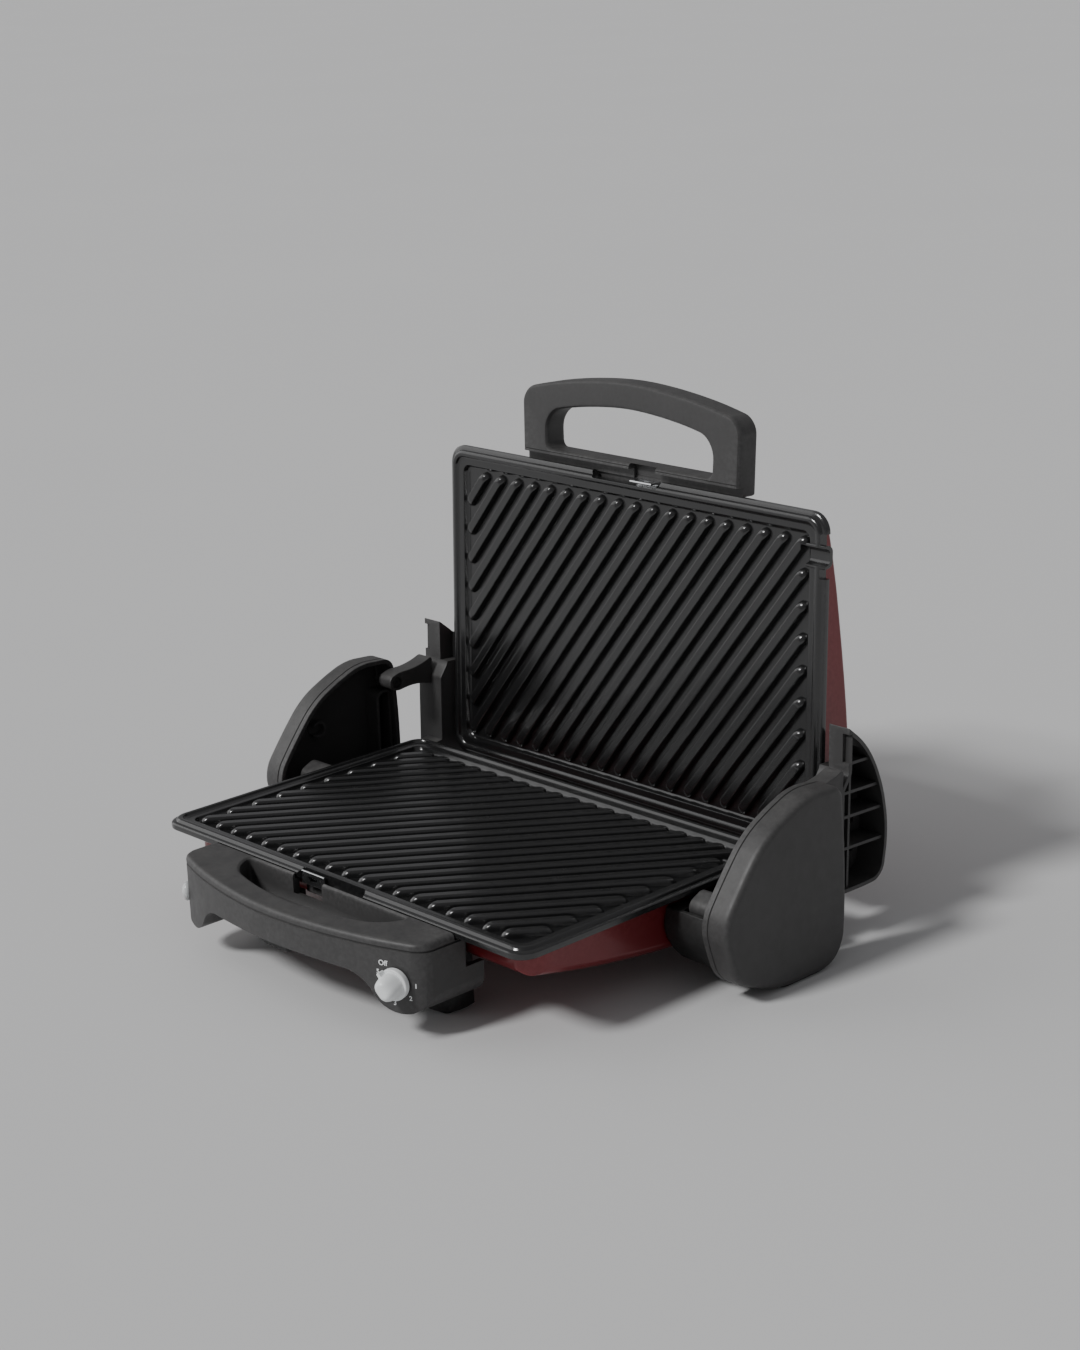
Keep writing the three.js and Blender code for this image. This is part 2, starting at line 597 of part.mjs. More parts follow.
function lidArm(side) {
  const cover = prism('x', armOutline(0), ...reach(side, ARM_IN, ARM_OUT));
  const hollow = prism('x', armOutline(2.6), ...reach(side, ARM_IN + ARM_WEB, ARM_OUT + 5));
  const rib = (z) => box(...boxOn(side, ARM_IN + 1, -6, z - RIB_HALF, ARM_OUT - 2, 36, z + RIB_HALF));
  const ribs = RIB_HEIGHTS.map(rib);
  const spine = box(...boxOn(side, ARM_IN + 1, 1, -14, ARM_OUT - 2, 2.8, 66));
  const frame = common(join(spine, ...ribs), prism('x', armOutline(1), ...reach(side, ARM_IN, ARM_OUT)));
  const limb = prism('x', outline([
    [-6, 38], [-20, 41.5, 6], [PIN_Y, PIN_Z - 6, 3], [PIN_Y - 6, PIN_Z - 3, 3], [PIN_Y - 6, PIN_Z + 4, 3],
    [PIN_Y + 2, PIN_Z + 7, 3], [-16, 52, 5], [-6, 57],
  ]), ...reach(side, ARM_OUT - 12, ARM_OUT));
  const lug = rod('x', LUG_R, [-LID_OUT, -LID_UP], ...reach(side, ARM_IN, ARM_IN + LUG_LONG));
  const neck = prism('x', outline([
    [-LID_OUT, -LID_UP + LUG_R - 1], [-5, 4], [-5, -17], [-LID_OUT, -LID_UP - LUG_R + 1],
  ]), ...reach(side, ARM_IN, ARM_IN + LUG_LONG));
  const shaftBore = rod('x', SHAFT_R + 0.35, [-LID_OUT, -LID_UP], ...reach(side, ARM_IN - 5, ARM_OUT));
  const pinBore = rod('x', 3.9, [PIN_Y, PIN_Z], ...reach(side, ARM_OUT - 15, ARM_OUT + 1));
  const slots = STUDS.map(([y, z]) => {
    const from = [ARM_IN - 1, y - STUD_ROOM, z - STUD_ROOM];
    return box(...boxOn(side, ...from, ARM_IN + ARM_WEB + 1, y + FLOAT + STUD_ROOM, z + STUD_ROOM));
  });
  const face = ARM_IN + ARM_WEB;
  const headRoom = (z) => box(...boxOn(side, face, 6, z - HEAD_ROOM, face + 4, 30, z + HEAD_ROOM));
  const shell = join(cut(cover, hollow), cut(frame, ...STUDS.map(([, z]) => headRoom(z))), limb, lug, neck);
  return cut(shell, shaftBore, pinBore, ...slots);
}

function floatStud(side, [y, z]) {
  const shank = rod('x', 2, [y, z], ...reach(side, 144, 152.6), 12);
  const shoulder = rod('x', 3, [y, z], ...reach(side, 152, ARM_IN + 3.6), 14);
  const head = rod('x', 5, [y, z], ...reach(side, ARM_IN + 3.4, ARM_IN + 5.4), 16);
  return join(shank, shoulder, head);
}

// ---------- assembly ----------

const press = new THREE.Group();
const base = new THREE.Group();
press.add(base);

addPiece(base, 'base_shell', baseShell(), RED);
addPiece(base, 'lower_reflector', tray(REFLECTOR_HALF_X, -70, 80, -23.5, -12, 1), STEEL);
addPiece(base, 'lower_plate', cookingPlate(-1, 72), NONSTICK);
addPiece(base, 'lower_heating_element', heatingElement(ELEMENT_HALF_X, 66, ELEMENT_Z, 5), STEEL);
addPiece(base, 'front_handle', frontHandle(), BLACK);
addPiece(base, 'thermostat', thermostat(), DARK);
addPiece(base, 'indicator_lamp', lampHolder(), DARK);
addPiece(base, 'indicator_lens', lens(), LENS);
addPiece(base, 'terminal_block', cut(box(-40, 82, -40, 40, 96, -30), box(-30, 85, -35, 30, 93, 0)), WHITE);
addPiece(base, 'thermal_fuse', rod('x', 4, [20, -32], -24, 24, 12), STEEL);
addPiece(base, 'cord_gland', cordGland(), DARK);

for (const [side, word] of SIDES) {
  addPiece(base, `pod_${word}`, pod(side), BLACK);
  addPiece(base, `bracket_${word}`, bracket(side), DARK);
  addPiece(base, `lid_rest_${word}`, lidRest(side), BLACK);
  addPiece(base, `hinge_bush_${word}`, hingeBush(side), BRASS);
  addPiece(base, `front_foot_${word}`, frontFoot(side), DARK);
  addPiece(base, `front_pad_${word}`, frontPad(side), RUBBER);
  addPiece(base, `rear_pad_${word}`, rearPad(side), RUBBER);
  BRACKET_SCREWS.forEach((at, i) => {
    const screw = sideScrew(at, side * 143.4, side * 157);
    addPiece(base, `bracket_screw_${word}_${i + 1}`, screw, STEEL);
  });
  POD_SCREWS.forEach((at, i) => {
    const screw = sideScrew(at, side * 146, side * 193);
    addPiece(base, `pod_screw_${word}_${i + 1}`, screw, STEEL);
  });
}

addPiece(base, 'lower_latch', latch(-1, -27, -7), BRIGHT);
addPiece(base, 'lock_slider', lockSlider(), DARK);

const knobGroup = new THREE.Group();
knobGroup.position.set(KNOB_X, KNOB_Y, KNOB_Z);
knobGroup.rotation.z = KNOB_TURN;
base.add(knobGroup);
const dial = new THREE.Group();
dial.rotation.y = KNOB_REST;
knobGroup.add(dial);
addPiece(dial, 'thermostat_knob', knob(), WHITE);
addPiece(dial, 'thermostat_shaft', knobShaft(), STEEL);

// The lid's group turns about the hinge; its own origin is the middle of the plate's hinge-end rim.
const hinge = new THREE.Group();
hinge.position.set(0, HINGE_Y, HINGE_Z);
hinge.rotation.x = -LEAN;
press.add(hinge);
const lid = new THREE.Group();
lid.position.set(0, LID_OUT, LID_UP);
hinge.add(lid);

addPiece(hinge, 'hinge_shaft', rod('x', SHAFT_R, [0, 0], -ARM_IN - 13, ARM_IN + 13), STEEL);
for (const [side, word] of SIDES) {
  addPiece(lid, `lid_arm_${word}`, lidArm(side), BLACK);
  addPiece(lid, `guide_pin_${word}`, rod('x', 3.6, [PIN_Y, PIN_Z], ...reach(side, ARM_OUT - 11, 188)), DARK);
  STUDS.forEach((at, i) => addPiece(lid, `float_stud_${word}_${i + 1}`, floatStud(side, at), STEEL));
}
addPiece(lid, 'lid_shell', lidShell(), RED);
addPiece(lid, 'lid_handle', lidHandle(), BLACK);

// The upper plate and what lies behind it are modelled face up, then stood on the hinge end.
const facing = new THREE.Group();
facing.rotation.x = Math.PI / 2;
facing.position.z = PLATE_HALF_Y;
lid.add(facing);
addPiece(facing, 'upper_plate', cookingPlate(1, 78), NONSTICK);
addPiece(facing, 'upper_heating_element', heatingElement(ELEMENT_HALF_X, 62, ELEMENT_Z, 6), STEEL);
addPiece(facing, 'upper_reflector', box(-REFLECTOR_HALF_X, -86, -18.4, REFLECTOR_HALF_X, 50, -17.4), STEEL);
addPiece(facing, 'upper_latch', latch(1, 4, 22), BRIGHT);

// The origin goes under the middle of the whole object's box.
const bounds = new THREE.Box3().setFromObject(press, true);
press.position.set(0, -(bounds.min.y + bounds.max.y) / 2, -bounds.min.z);

export default press;
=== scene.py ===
"""Looks of a panini press with its lid open: shells, grill plates, handles, controls and finishes."""

import json
import math
from collections import namedtuple

import bmesh
import bpy
from mathutils import Matrix, Vector
from mathutils.bvhtree import BVHTree


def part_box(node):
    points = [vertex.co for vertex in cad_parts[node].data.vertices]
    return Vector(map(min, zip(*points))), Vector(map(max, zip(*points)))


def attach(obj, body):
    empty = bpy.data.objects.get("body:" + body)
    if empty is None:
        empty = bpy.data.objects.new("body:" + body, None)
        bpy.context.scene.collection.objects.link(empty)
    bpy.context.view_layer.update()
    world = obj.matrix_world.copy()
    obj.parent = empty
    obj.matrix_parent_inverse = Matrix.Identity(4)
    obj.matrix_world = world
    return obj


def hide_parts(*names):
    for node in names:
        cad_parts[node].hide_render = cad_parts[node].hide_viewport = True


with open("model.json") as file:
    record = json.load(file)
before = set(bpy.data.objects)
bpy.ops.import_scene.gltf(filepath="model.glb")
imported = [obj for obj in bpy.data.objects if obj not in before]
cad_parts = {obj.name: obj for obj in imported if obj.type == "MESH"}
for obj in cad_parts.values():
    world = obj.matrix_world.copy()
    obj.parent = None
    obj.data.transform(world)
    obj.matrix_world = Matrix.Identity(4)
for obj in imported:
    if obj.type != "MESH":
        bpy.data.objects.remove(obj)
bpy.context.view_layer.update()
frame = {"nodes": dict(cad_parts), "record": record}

bl_info = {
    "name": "Panini Press Looks",
    "version": (1, 0, 0),
    "blender": (4, 5, 0),
    "location": "View3D > Sidebar > Panini Press",
    "description": "Shells, grill plates, handles, controls and finishes for an open panini press",
    "category": "Object",
}

# ---------- places, all in millimetres inside these frames ----------

MM = 0.001
LEAN = math.radians(2.6)
RIM_LOW, RIM_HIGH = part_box("lower_plate")
# The press's own frame starts in the middle of the lower plate, level with its rim.
PRESS = Matrix.Translation((0, (RIM_LOW.y + RIM_HIGH.y) / 2, RIM_HIGH.z)) @ Matrix.Scale(MM, 4)
HINGE = Vector((0, 107.3, -21.6))
# The lid's frame: x right, y out of its back, z from the hinge end to the handle end.
LID_FROM_HINGE = Vector((0, 22.6, 9.3))
LID = (PRESS @ Matrix.Translation(HINGE) @ Matrix.Rotation(-LEAN, 4, "X")
       @ Matrix.Translation(LID_FROM_HINGE))
PLATE_HALF_Y = 98
UPPER = LID @ Matrix.Translation((0, 0, PLATE_HALF_Y)) @ Matrix.Rotation(math.pi / 2, 4, "X")
KNOB_AT = Vector((90, -132.4, -26.5))
KNOB_YAW = math.radians(17)
DIAL = PRESS @ Matrix.Translation(KNOB_AT) @ Matrix.Rotation(KNOB_YAW, 4, "Z")
KNOB = DIAL @ Matrix.Rotation(math.radians(-38), 4, "Y")
ALREADY_PLACED = Matrix.Identity(4)

# How a flat outline (u, v) and its height w lie along each axis.
ALONG = {
    "x": Matrix(((0, 0, 1, 0), (1, 0, 0, 0), (0, 1, 0, 0), (0, 0, 0, 1))),
    "y": Matrix(((1, 0, 0, 0), (0, 0, 1, 0), (0, 1, 0, 0), (0, 0, 0, 1))),
    "z": Matrix.Identity(4),
}
SIDES = ((1, "right"), (-1, "left"))


# ---------- sizes and colours that a user would change ----------


class PressSizes(bpy.types.PropertyGroup):
    rib_width: bpy.props.FloatProperty(
        name="Rib width", description="Width of a grill rib at its foot, in millimetres",
        default=7.2, min=3, max=9)
    rib_pitch: bpy.props.FloatProperty(
        name="Rib pitch", description="Distance between neighbouring grill ribs, in millimetres",
        default=11.7, min=8, max=20)
    rib_angle: bpy.props.FloatProperty(
        name="Rib angle", description="Slant of the grill ribs from side to side",
        default=math.radians(52), subtype="ANGLE")
    wall: bpy.props.FloatProperty(
        name="Shell wall", description="Thickness of the red shells, in millimetres",
        default=2.0, min=1, max=4)
    floor_size: bpy.props.FloatProperty(
        name="Floor size", description="Width of the studio floor",
        default=60, unit="LENGTH")
    camera_lens: bpy.props.FloatProperty(
        name="Camera lens", description="Focal length of the camera, in millimetres",
        default=69.8, min=20, max=200)


def colour_property(name, description, default):
    return bpy.props.FloatVectorProperty(
        name=name, description=description, default=default, size=4, min=0, max=1, subtype="COLOR")


class PressColours(bpy.types.PropertyGroup):
    red: colour_property("Shell red", "Colour of the lid and the base", (0.17, 0.012, 0.016, 1))
    charcoal: colour_property("Charcoal plastic", "Colour of handles and pods", (0.045, 0.044, 0.044, 1))
    black: colour_property("Black plastic", "Colour of brackets and feet", (0.010, 0.010, 0.010, 1))
    coating: colour_property("Non-stick coating", "Colour of the grill plates", (0.009, 0.009, 0.0093, 1))
    rubber: colour_property("Rubber", "Colour of the pads", (0.012, 0.012, 0.012, 1))
    white: colour_property("White plastic", "Colour of the knob and the dial marks", (0.86, 0.88, 0.88, 1))
    ceramic: colour_property("Ceramic", "Colour of the terminal block", (0.68, 0.66, 0.60, 1))
    steel: colour_property("Steel", "Colour of plated parts", (0.55, 0.56, 0.57, 1))
    spring: colour_property("Spring steel", "Colour of the release clips", (0.66, 0.67, 0.68, 1))
    brass: colour_property("Brass", "Colour of the hinge bushes", (0.56, 0.38, 0.14, 1))
    lens: colour_property("Lamp lens", "Colour of the indicator lens", (0.80, 0.82, 0.82, 1))
    floor: colour_property("Studio floor", "Colour of the floor", (0.66, 0.66, 0.66, 1))


# ---------- shader node groups ----------


def new_group(name, inputs, outputs):
    group = bpy.data.node_groups.new(name, "ShaderNodeTree")
    for label, kind, value in inputs:
        socket = group.interface.new_socket(label, in_out="INPUT", socket_type=kind)
        socket.default_value = value
    for label, kind in outputs:
        group.interface.new_socket(label, in_out="OUTPUT", socket_type=kind)
    return group, group.nodes.new("NodeGroupInput"), group.nodes.new("NodeGroupOutput")


def add(tree, kind, **settings):
    made = tree.nodes.new(kind)
    for key, value in settings.items():
        setattr(made, key, value)
    return made


def math_node(tree, operation, first, second):
    made = add(tree, "ShaderNodeMath", operation=operation)
    for socket, value in zip(made.inputs, (first, second)):
        if isinstance(value, bpy.types.NodeSocket):
            tree.links.new(value, socket)
        else:
            socket.default_value = value
    return made.outputs[0]


def times(tree, first, second):
    return math_node(tree, "MULTIPLY", first, second)


def plus(tree, first, second):
    return math_node(tree, "ADD", first, second)


def noise(tree, scale, detail=3, roughness=0.55):
    where = add(tree, "ShaderNodeTexCoord")
    made = add(tree, "ShaderNodeTexNoise")
    made.inputs["Detail"].default_value = detail
    made.inputs["Roughness"].default_value = roughness
    tree.links.new(where.outputs["Object"], made.inputs["Vector"])
    if isinstance(scale, bpy.types.NodeSocket):
        tree.links.new(scale, made.inputs["Scale"])
    else:
        made.inputs["Scale"].default_value = scale
    return made.outputs["Fac"]


def ramp(tree, value, low, high):
    made = add(tree, "ShaderNodeMapRange", clamp=True)
    made.inputs["From Min"].default_value = low
    made.inputs["From Max"].default_value = high
    tree.links.new(value, made.inputs["Value"])
    return made.outputs["Result"]


def mix_colour(tree, share, first, second):
    made = add(tree, "ShaderNodeMix", data_type="RGBA")
    for socket, value in ((made.inputs[0], share), (made.inputs[6], first), (made.inputs[7], second)):
        if isinstance(value, bpy.types.NodeSocket):
            tree.links.new(value, socket)
        else:
            socket.default_value = value
    return made.outputs[2]


def moulded_grain():
    """Fine pitted texture of a moulded or sprayed surface, as a height."""
    group, given, out = new_group(
        "Moulded grain",
        [("Scale", "NodeSocketFloat", 2600.0), ("Waviness", "NodeSocketFloat", 0.3)],
        [("Height", "NodeSocketFloat")])
    fine = noise(group, given.outputs["Scale"], detail=2)
    broad = noise(group, times(group, given.outputs["Scale"], 0.06), detail=1)
    swell = times(group, broad, given.outputs["Waviness"])
    group.links.new(plus(group, fine, swell), out.inputs["Height"])
    return group


def colour_drift():
    """Slow uneven change of a colour, as in any batch of plastic or paint."""
    group, given, out = new_group(
        "Colour drift",
        [("Colour", "NodeSocketColor", (0.5, 0.5, 0.5, 1)), ("Scale", "NodeSocketFloat", 30.0),
         ("Amount", "NodeSocketFloat", 0.2)],
        [("Colour", "NodeSocketColor")])
    field = ramp(group, noise(group, given.outputs["Scale"], detail=5), 0.3, 0.7)
    lift = times(group, math_node(group, "SUBTRACT", field, 0.5), given.outputs["Amount"])
    shift = add(group, "ShaderNodeHueSaturation")
    group.links.new(plus(group, lift, 1.0), shift.inputs["Value"])
    group.links.new(given.outputs["Colour"], shift.inputs["Color"])
    group.links.new(shift.outputs["Color"], out.inputs["Colour"])
    return group


def edge_wear():
    """Mask of rubbed edges: 1 on a worn convex edge, broken up by noise."""
    group, given, out = new_group(
        "Edge wear",
        [("Amount", "NodeSocketFloat", 0.5), ("Break-up", "NodeSocketFloat", 400.0)],
        [("Mask", "NodeSocketFloat")])
    shape = add(group, "ShaderNodeNewGeometry")
    edge = ramp(group, shape.outputs["Pointiness"], 0.515, 0.60)
    broken = ramp(group, noise(group, given.outputs["Break-up"], detail=4), 0.38, 0.66)
    mask = times(group, times(group, edge, broken), given.outputs["Amount"])
    group.links.new(mask, out.inputs["Mask"])
    return group


def settled_dust():
    """Mask of thin dust: strongest on faces that look up, patchy, and never on faces that look down."""
    group, given, out = new_group(
        "Settled dust",
        [("Amount", "NodeSocketFloat", 0.1), ("Patch scale", "NodeSocketFloat", 60.0)],
        [("Mask", "NodeSocketFloat")])
    shape = add(group, "ShaderNodeNewGeometry")
    split = add(group, "ShaderNodeSeparateXYZ")
    group.links.new(shape.outputs["Normal"], split.inputs[0])
    up = ramp(group, split.outputs["Z"], 0.2, 1.0)
    patches = ramp(group, noise(group, given.outputs["Patch scale"], detail=6, roughness=0.7), 0.42, 0.75)
    specks = ramp(group, noise(group, 1800.0, detail=1), 0.56, 0.70)
    both = plus(group, patches, times(group, specks, 0.6))
    mask = times(group, times(group, up, both), given.outputs["Amount"])
    group.links.new(mask, out.inputs["Mask"])
    return group


def drawn_lines():
    """Fine lines left by rolling or brushing a metal along x, as a height."""
    group, given, out = new_group(
        "Drawn lines", [("Scale", "NodeSocketFloat", 900.0)], [("Height", "NodeSocketFloat")])
    where = add(group, "ShaderNodeTexCoord")
    stretch = add(group, "ShaderNodeMapping")
    stretch.inputs["Scale"].default_value = (0.04, 1, 1)
    lines = add(group, "ShaderNodeTexNoise")
    group.links.new(where.outputs["Object"], stretch.inputs["Vector"])
    group.links.new(stretch.outputs["Vector"], lines.inputs["Vector"])
    group.links.new(given.outputs["Scale"], lines.inputs["Scale"])
    group.links.new(lines.outputs["Fac"], out.inputs["Height"])
    return group


EFFECTS = {}


def effect(tree, name, **values):
    """One of the shared effects placed in a material with its own values."""
    if name not in EFFECTS:
        makers = (moulded_grain, colour_drift, edge_wear, settled_dust, drawn_lines)
        EFFECTS[name] = next(maker for maker in makers if maker.__name__ == name)()
    made = add(tree, "ShaderNodeGroup", node_tree=EFFECTS[name])
    for label, value in values.items():
        made.inputs[label.replace("_", " ").capitalize()].default_value = value
    return made


# ---------- finishes ----------

# Colour's name, roughness and its spread, grain scale and height in metres, colour drift, lightening of
# worn edges, dust, clear coat, metallic share, and whether the grain is drawn lines.
Finish = namedtuple("Finish", "colour roughness spread grain relief drift wear dust coat metallic drawn",
                    defaults=(0.0, 0.0, False))
FINISHES = {
    "red_enamel": Finish("red", 0.36, 0.08, 900, 0.000012, 0.10, 0.25, 0.05, coat=0.35, metallic=0.25),
    "black_plastic": Finish("charcoal", 0.50, 0.10, 2600, 0.00006, 0.16, 0.45, 0.10),
    "dark_plastic": Finish("black", 0.55, 0.12, 2200, 0.00006, 0.25, 0.40, 0.10),
    "rubber_feet": Finish("rubber", 0.85, 0.08, 1500, 0.00010, 0.35, 0.30, 0.15),
    "white_plastic": Finish("white", 0.34, 0.06, 1800, 0.00001, 0.05, 0.0, 0.03),
    "ceramic_white": Finish("ceramic", 0.45, 0.15, 1400, 0.00004, 0.12, 0.1, 0.05),
    "plated_steel": Finish("steel", 0.32, 0.14, 700, 0.00001, 0.18, 0.3, 0.04, 0.0, 1.0, True),
    "latch_spring_steel": Finish("spring", 0.26, 0.10, 900, 0.00001, 0.12, 0.2, 0.02, 0.0, 1.0, True),
    "brass_bush": Finish("brass", 0.34, 0.12, 900, 0.00001, 0.20, 0.3, 0.03, 0.0, 1.0, True),
    "nonstick_coating": Finish("coating", 0.23, 0.08, 1500, 0.00005, 0.35, 0.25, 0.02, coat=0.5),
}
RUBBED_LIFT = 0.06                  # a worn edge's colour: this plus the gain times the base colour
RUBBED_GAIN = 1.8
DRIFT_SCALE = 26.0
COAT_ROUGHNESS = 0.12
COATING_GLOSS = 0.15                # roughness of the cooking plates' top layer
SPECK_COLOUR = (0.05, 0.05, 0.052, 1)
DUST_COLOUR = (0.32, 0.31, 0.29, 1)
MATERIALS = {}


def material_and_shader(name):
    made = bpy.data.materials.new(name)
    made.use_nodes = True
    return made, made.node_tree, made.node_tree.nodes["Principled BSDF"]


def surface_colour(tree, colour, given):
    """Base colour with drift, lighter worn edges and settled dust."""
    drift = effect(tree, "colour_drift", scale=DRIFT_SCALE, amount=given.drift)
    drift.inputs["Colour"].default_value = colour
    wear = effect(tree, "edge_wear", amount=given.wear)
    rubbed = tuple(min(1.0, RUBBED_LIFT + RUBBED_GAIN * part) for part in colour[:3]) + (1,)
    worn = mix_colour(tree, wear.outputs["Mask"], drift.outputs["Colour"], rubbed)
    dust = effect(tree, "settled_dust", amount=given.dust)
    return mix_colour(tree, dust.outputs["Mask"], worn, DUST_COLOUR), dust.outputs["Mask"]


def surface_roughness(tree, shader, given, dust_mask):
    field = ramp(tree, noise(tree, 140.0, detail=4), 0.3, 0.7)
    low = given.roughness - given.spread / 2
    uneven = plus(tree, times(tree, field, given.spread), low)
    dulled = plus(tree, uneven, times(tree, dust_mask, 0.5))
    tree.links.new(dulled, shader.inputs["Roughness"])


def surface_relief(tree, shader, height, depth):
    bump = add(tree, "ShaderNodeBump")
    bump.inputs["Distance"].default_value = depth
    tree.links.new(height, bump.inputs["Height"])
    tree.links.new(bump.outputs["Normal"], shader.inputs["Normal"])


def moulded_finish(name, colours):
    given = FINISHES[name]
    made, tree, shader = material_and_shader(name)
    base, dust_mask = surface_colour(tree, tuple(getattr(colours, given.colour)), given)
    tree.links.new(base, shader.inputs["Base Color"])
    surface_roughness(tree, shader, given, dust_mask)
    shader.inputs["Metallic"].default_value = given.metallic
    shader.inputs["Coat Weight"].default_value = given.coat
    shader.inputs["Coat Roughness"].default_value = COAT_ROUGHNESS
    grain = effect(tree, "drawn_lines" if given.drawn else "moulded_grain", scale=float(given.grain))
    surface_relief(tree, shader, grain.outputs["Height"], given.relief)
    return made


def nonstick_finish(name, colours):
    """Sprayed non-stick: speckled, half glossy, with rubbed rib tops and thin grease clouding."""
    given = FINISHES[name]
    made, tree, shader = material_and_shader(name)
    base, dust_mask = surface_colour(tree, tuple(colours.coating), given)
    specks = ramp(tree, noise(tree, 2400.0, detail=2), 0.60, 0.72)
    speckled = mix_colour(tree, times(tree, specks, 0.35), base, SPECK_COLOUR)
    tree.links.new(speckled, shader.inputs["Base Color"])
    surface_roughness(tree, shader, given, dust_mask)
    grain = effect(tree, "moulded_grain", scale=float(given.grain), waviness=0.8)
    surface_relief(tree, shader, grain.outputs["Height"], given.relief)
    shader.inputs["Specular IOR Level"].default_value = 0.6
    shader.inputs["Coat Weight"].default_value = given.coat
    shader.inputs["Coat Roughness"].default_value = COATING_GLOSS
    return made


def lens_finish(name, colours):
    """Frosted clear lens with a faint inner moulding pattern."""
    made, tree, shader = material_and_shader(name)
    drift = effect(tree, "colour_drift", scale=300.0, amount=0.12)
    drift.inputs["Colour"].default_value = tuple(colours.lens)
    tree.links.new(drift.outputs["Colour"], shader.inputs["Base Color"])
    uneven = ramp(tree, noise(tree, 500.0), 0.2, 0.9)
    rough = plus(tree, times(tree, uneven, 0.12), 0.10)
    tree.links.new(rough, shader.inputs["Roughness"])
    height = effect(tree, "moulded_grain", scale=700.0).outputs["Height"]
    surface_relief(tree, shader, height, 0.00002)
    shader.inputs["Transmission Weight"].default_value = 0.35
    shader.inputs["IOR"].default_value = 1.49
    return made


def finish_for(slot):
    """The material of one of the record's slots, made once."""
    if slot not in MATERIALS:
        special = {"nonstick_coating": nonstick_finish, "lamp_lens": lens_finish}
        maker = special.get(slot, moulded_finish)
        MATERIALS[slot] = maker(slot, bpy.context.scene.press_colours)
    return MATERIALS[slot]


# ---------- shaping ----------

STACK = 100                         # distance between a loft's rings while they are joined


def shrink(corners, inset):
    """Corners (u, v, reach) moved inwards by an even distance; a negative distance moves them out."""
    count = len(corners)
    points = [Vector(corner[:2]) for corner in corners]
    area = sum(points[i - 1].x * points[i].y - points[i].x * points[i - 1].y for i in range(count))
    turn = 1 if area > 0 else -1
    moved = []
    for i, corner in enumerate(corners):
        before = (points[i] - points[i - 1]).normalized()
        after = (points[(i + 1) % count] - points[i]).normalized()
        inward = [Vector((-way.y, way.x)) * turn for way in (before, after)]
        place = points[i] + (inward[0] + inward[1]) * (inset / (1 + inward[0].dot(inward[1])))
        bend = turn * math.atan2(before.x * after.y - before.y * after.x, before.dot(after))
        moved.append((place.x, place.y, max(corner[2] - inset * math.tan(bend / 2), 0.05)))
    return moved


def fitted(corners):
    """Each corner's reach, less where its neighbour's rounding needs the same stretch."""
    reaches = []
    for i, (u, v, mine) in enumerate(corners):
        best = mine
        for other in (corners[i - 1], corners[(i + 1) % len(corners)]):
            room = 0.98 * math.dist((u, v), other[:2])
            best = min(best, mine * room / max(mine + other[2], 0.01))
        reaches.append(max(best, 0.03))
    return reaches


def rounded(shape, geom, offset, segments, affect="EDGES", clamp_overlap=False):
    bmesh.ops.bevel(shape, geom=geom, offset=offset, offset_type="OFFSET", affect=affect, segments=segments,
                    profile=0.5, material=-1, clamp_overlap=clamp_overlap)


def outline(corners, segments):
    """A flat face through corners (u, v, reach), each rounded over its reach along both sides."""
    flat = bmesh.new()
    verts = [flat.verts.new((u, v, 0)) for u, v, _ in corners]
    flat.faces.new(verts)
    for vert, reach in zip(verts, fitted(corners)):
        rounded(flat, [vert], reach, segments, "VERTICES")
    return flat


def append(shape, other):
    """Puts another shape's mesh into this one and returns the edges that it brought."""
    carrier = bpy.data.meshes.new("carrier")
    other.to_mesh(carrier)
    other.free()
    known = len(shape.edges)
    shape.from_mesh(carrier)
    bpy.data.meshes.remove(carrier)
    shape.edges.ensure_lookup_table()
    return shape.edges[known:]


def loft(rings, axis="z", segments=6, closed=False):
    """A closed skin through outlines (corners, height) along an axis; a closed loft is a ring."""
    shape = bmesh.new()
    loops = []
    for step, (corners, _) in enumerate(rings):
        ring = outline(corners, segments)
        bmesh.ops.translate(ring, verts=ring.verts, vec=(0, 0, STACK * step))
        loops.append(append(shape, ring))
    shape.faces.ensure_lookup_table()
    inner = shape.faces[:] if closed else shape.faces[1:-1]
    bmesh.ops.delete(shape, geom=inner, context="FACES_ONLY")
    for first, second in zip(loops, loops[1:]):
        bmesh.ops.bridge_loops(shape, edges=list(first) + list(second))
    # The rings are bridged while stacked well apart, so that none is joined the wrong way round.
    for step, (loop, (_, height)) in enumerate(zip(loops, rings)):
        verts = list({vert for edge in loop for vert in edge.verts})
        bmesh.ops.translate(shape, verts=verts, vec=(0, 0, height - STACK * step))
    if closed:
        bmesh.ops.bridge_loops(shape, edges=list(loops[-1]) + list(loops[0]))
    bmesh.ops.transform(shape, matrix=ALONG[axis], verts=shape.verts)
    bmesh.ops.recalc_face_normals(shape, faces=shape.faces)
    return shape


def bar(axis, corners, start, end, soft=0.5, segments=6):
    """An outline pushed along an axis with softened ends."""
    if soft <= 0:
        return loft([(corners, start), (corners, end)], axis, segments)
    step = soft * 0.3
    rings = [(shrink(corners, soft), start), (shrink(corners, step), start + step), (corners, start + soft),
             (corners, end - soft), (shrink(corners, step), end - step), (shrink(corners, soft), end)]
    return loft(rings, axis, segments)


def rectangle(u0, v0, u1, v1, reach=0.0):
    return [(u0, v0, reach), (u1, v0, reach), (u1, v1, reach), (u0, v1, reach)]


def block(low, high, soft=0.0, reach=0.0):
    """A box between two corners, with rounded upright edges and softened ends."""
    corners = rectangle(low[0], low[1], high[0], high[1], reach)
    return bar("z", corners, low[2], high[2], soft, 4)


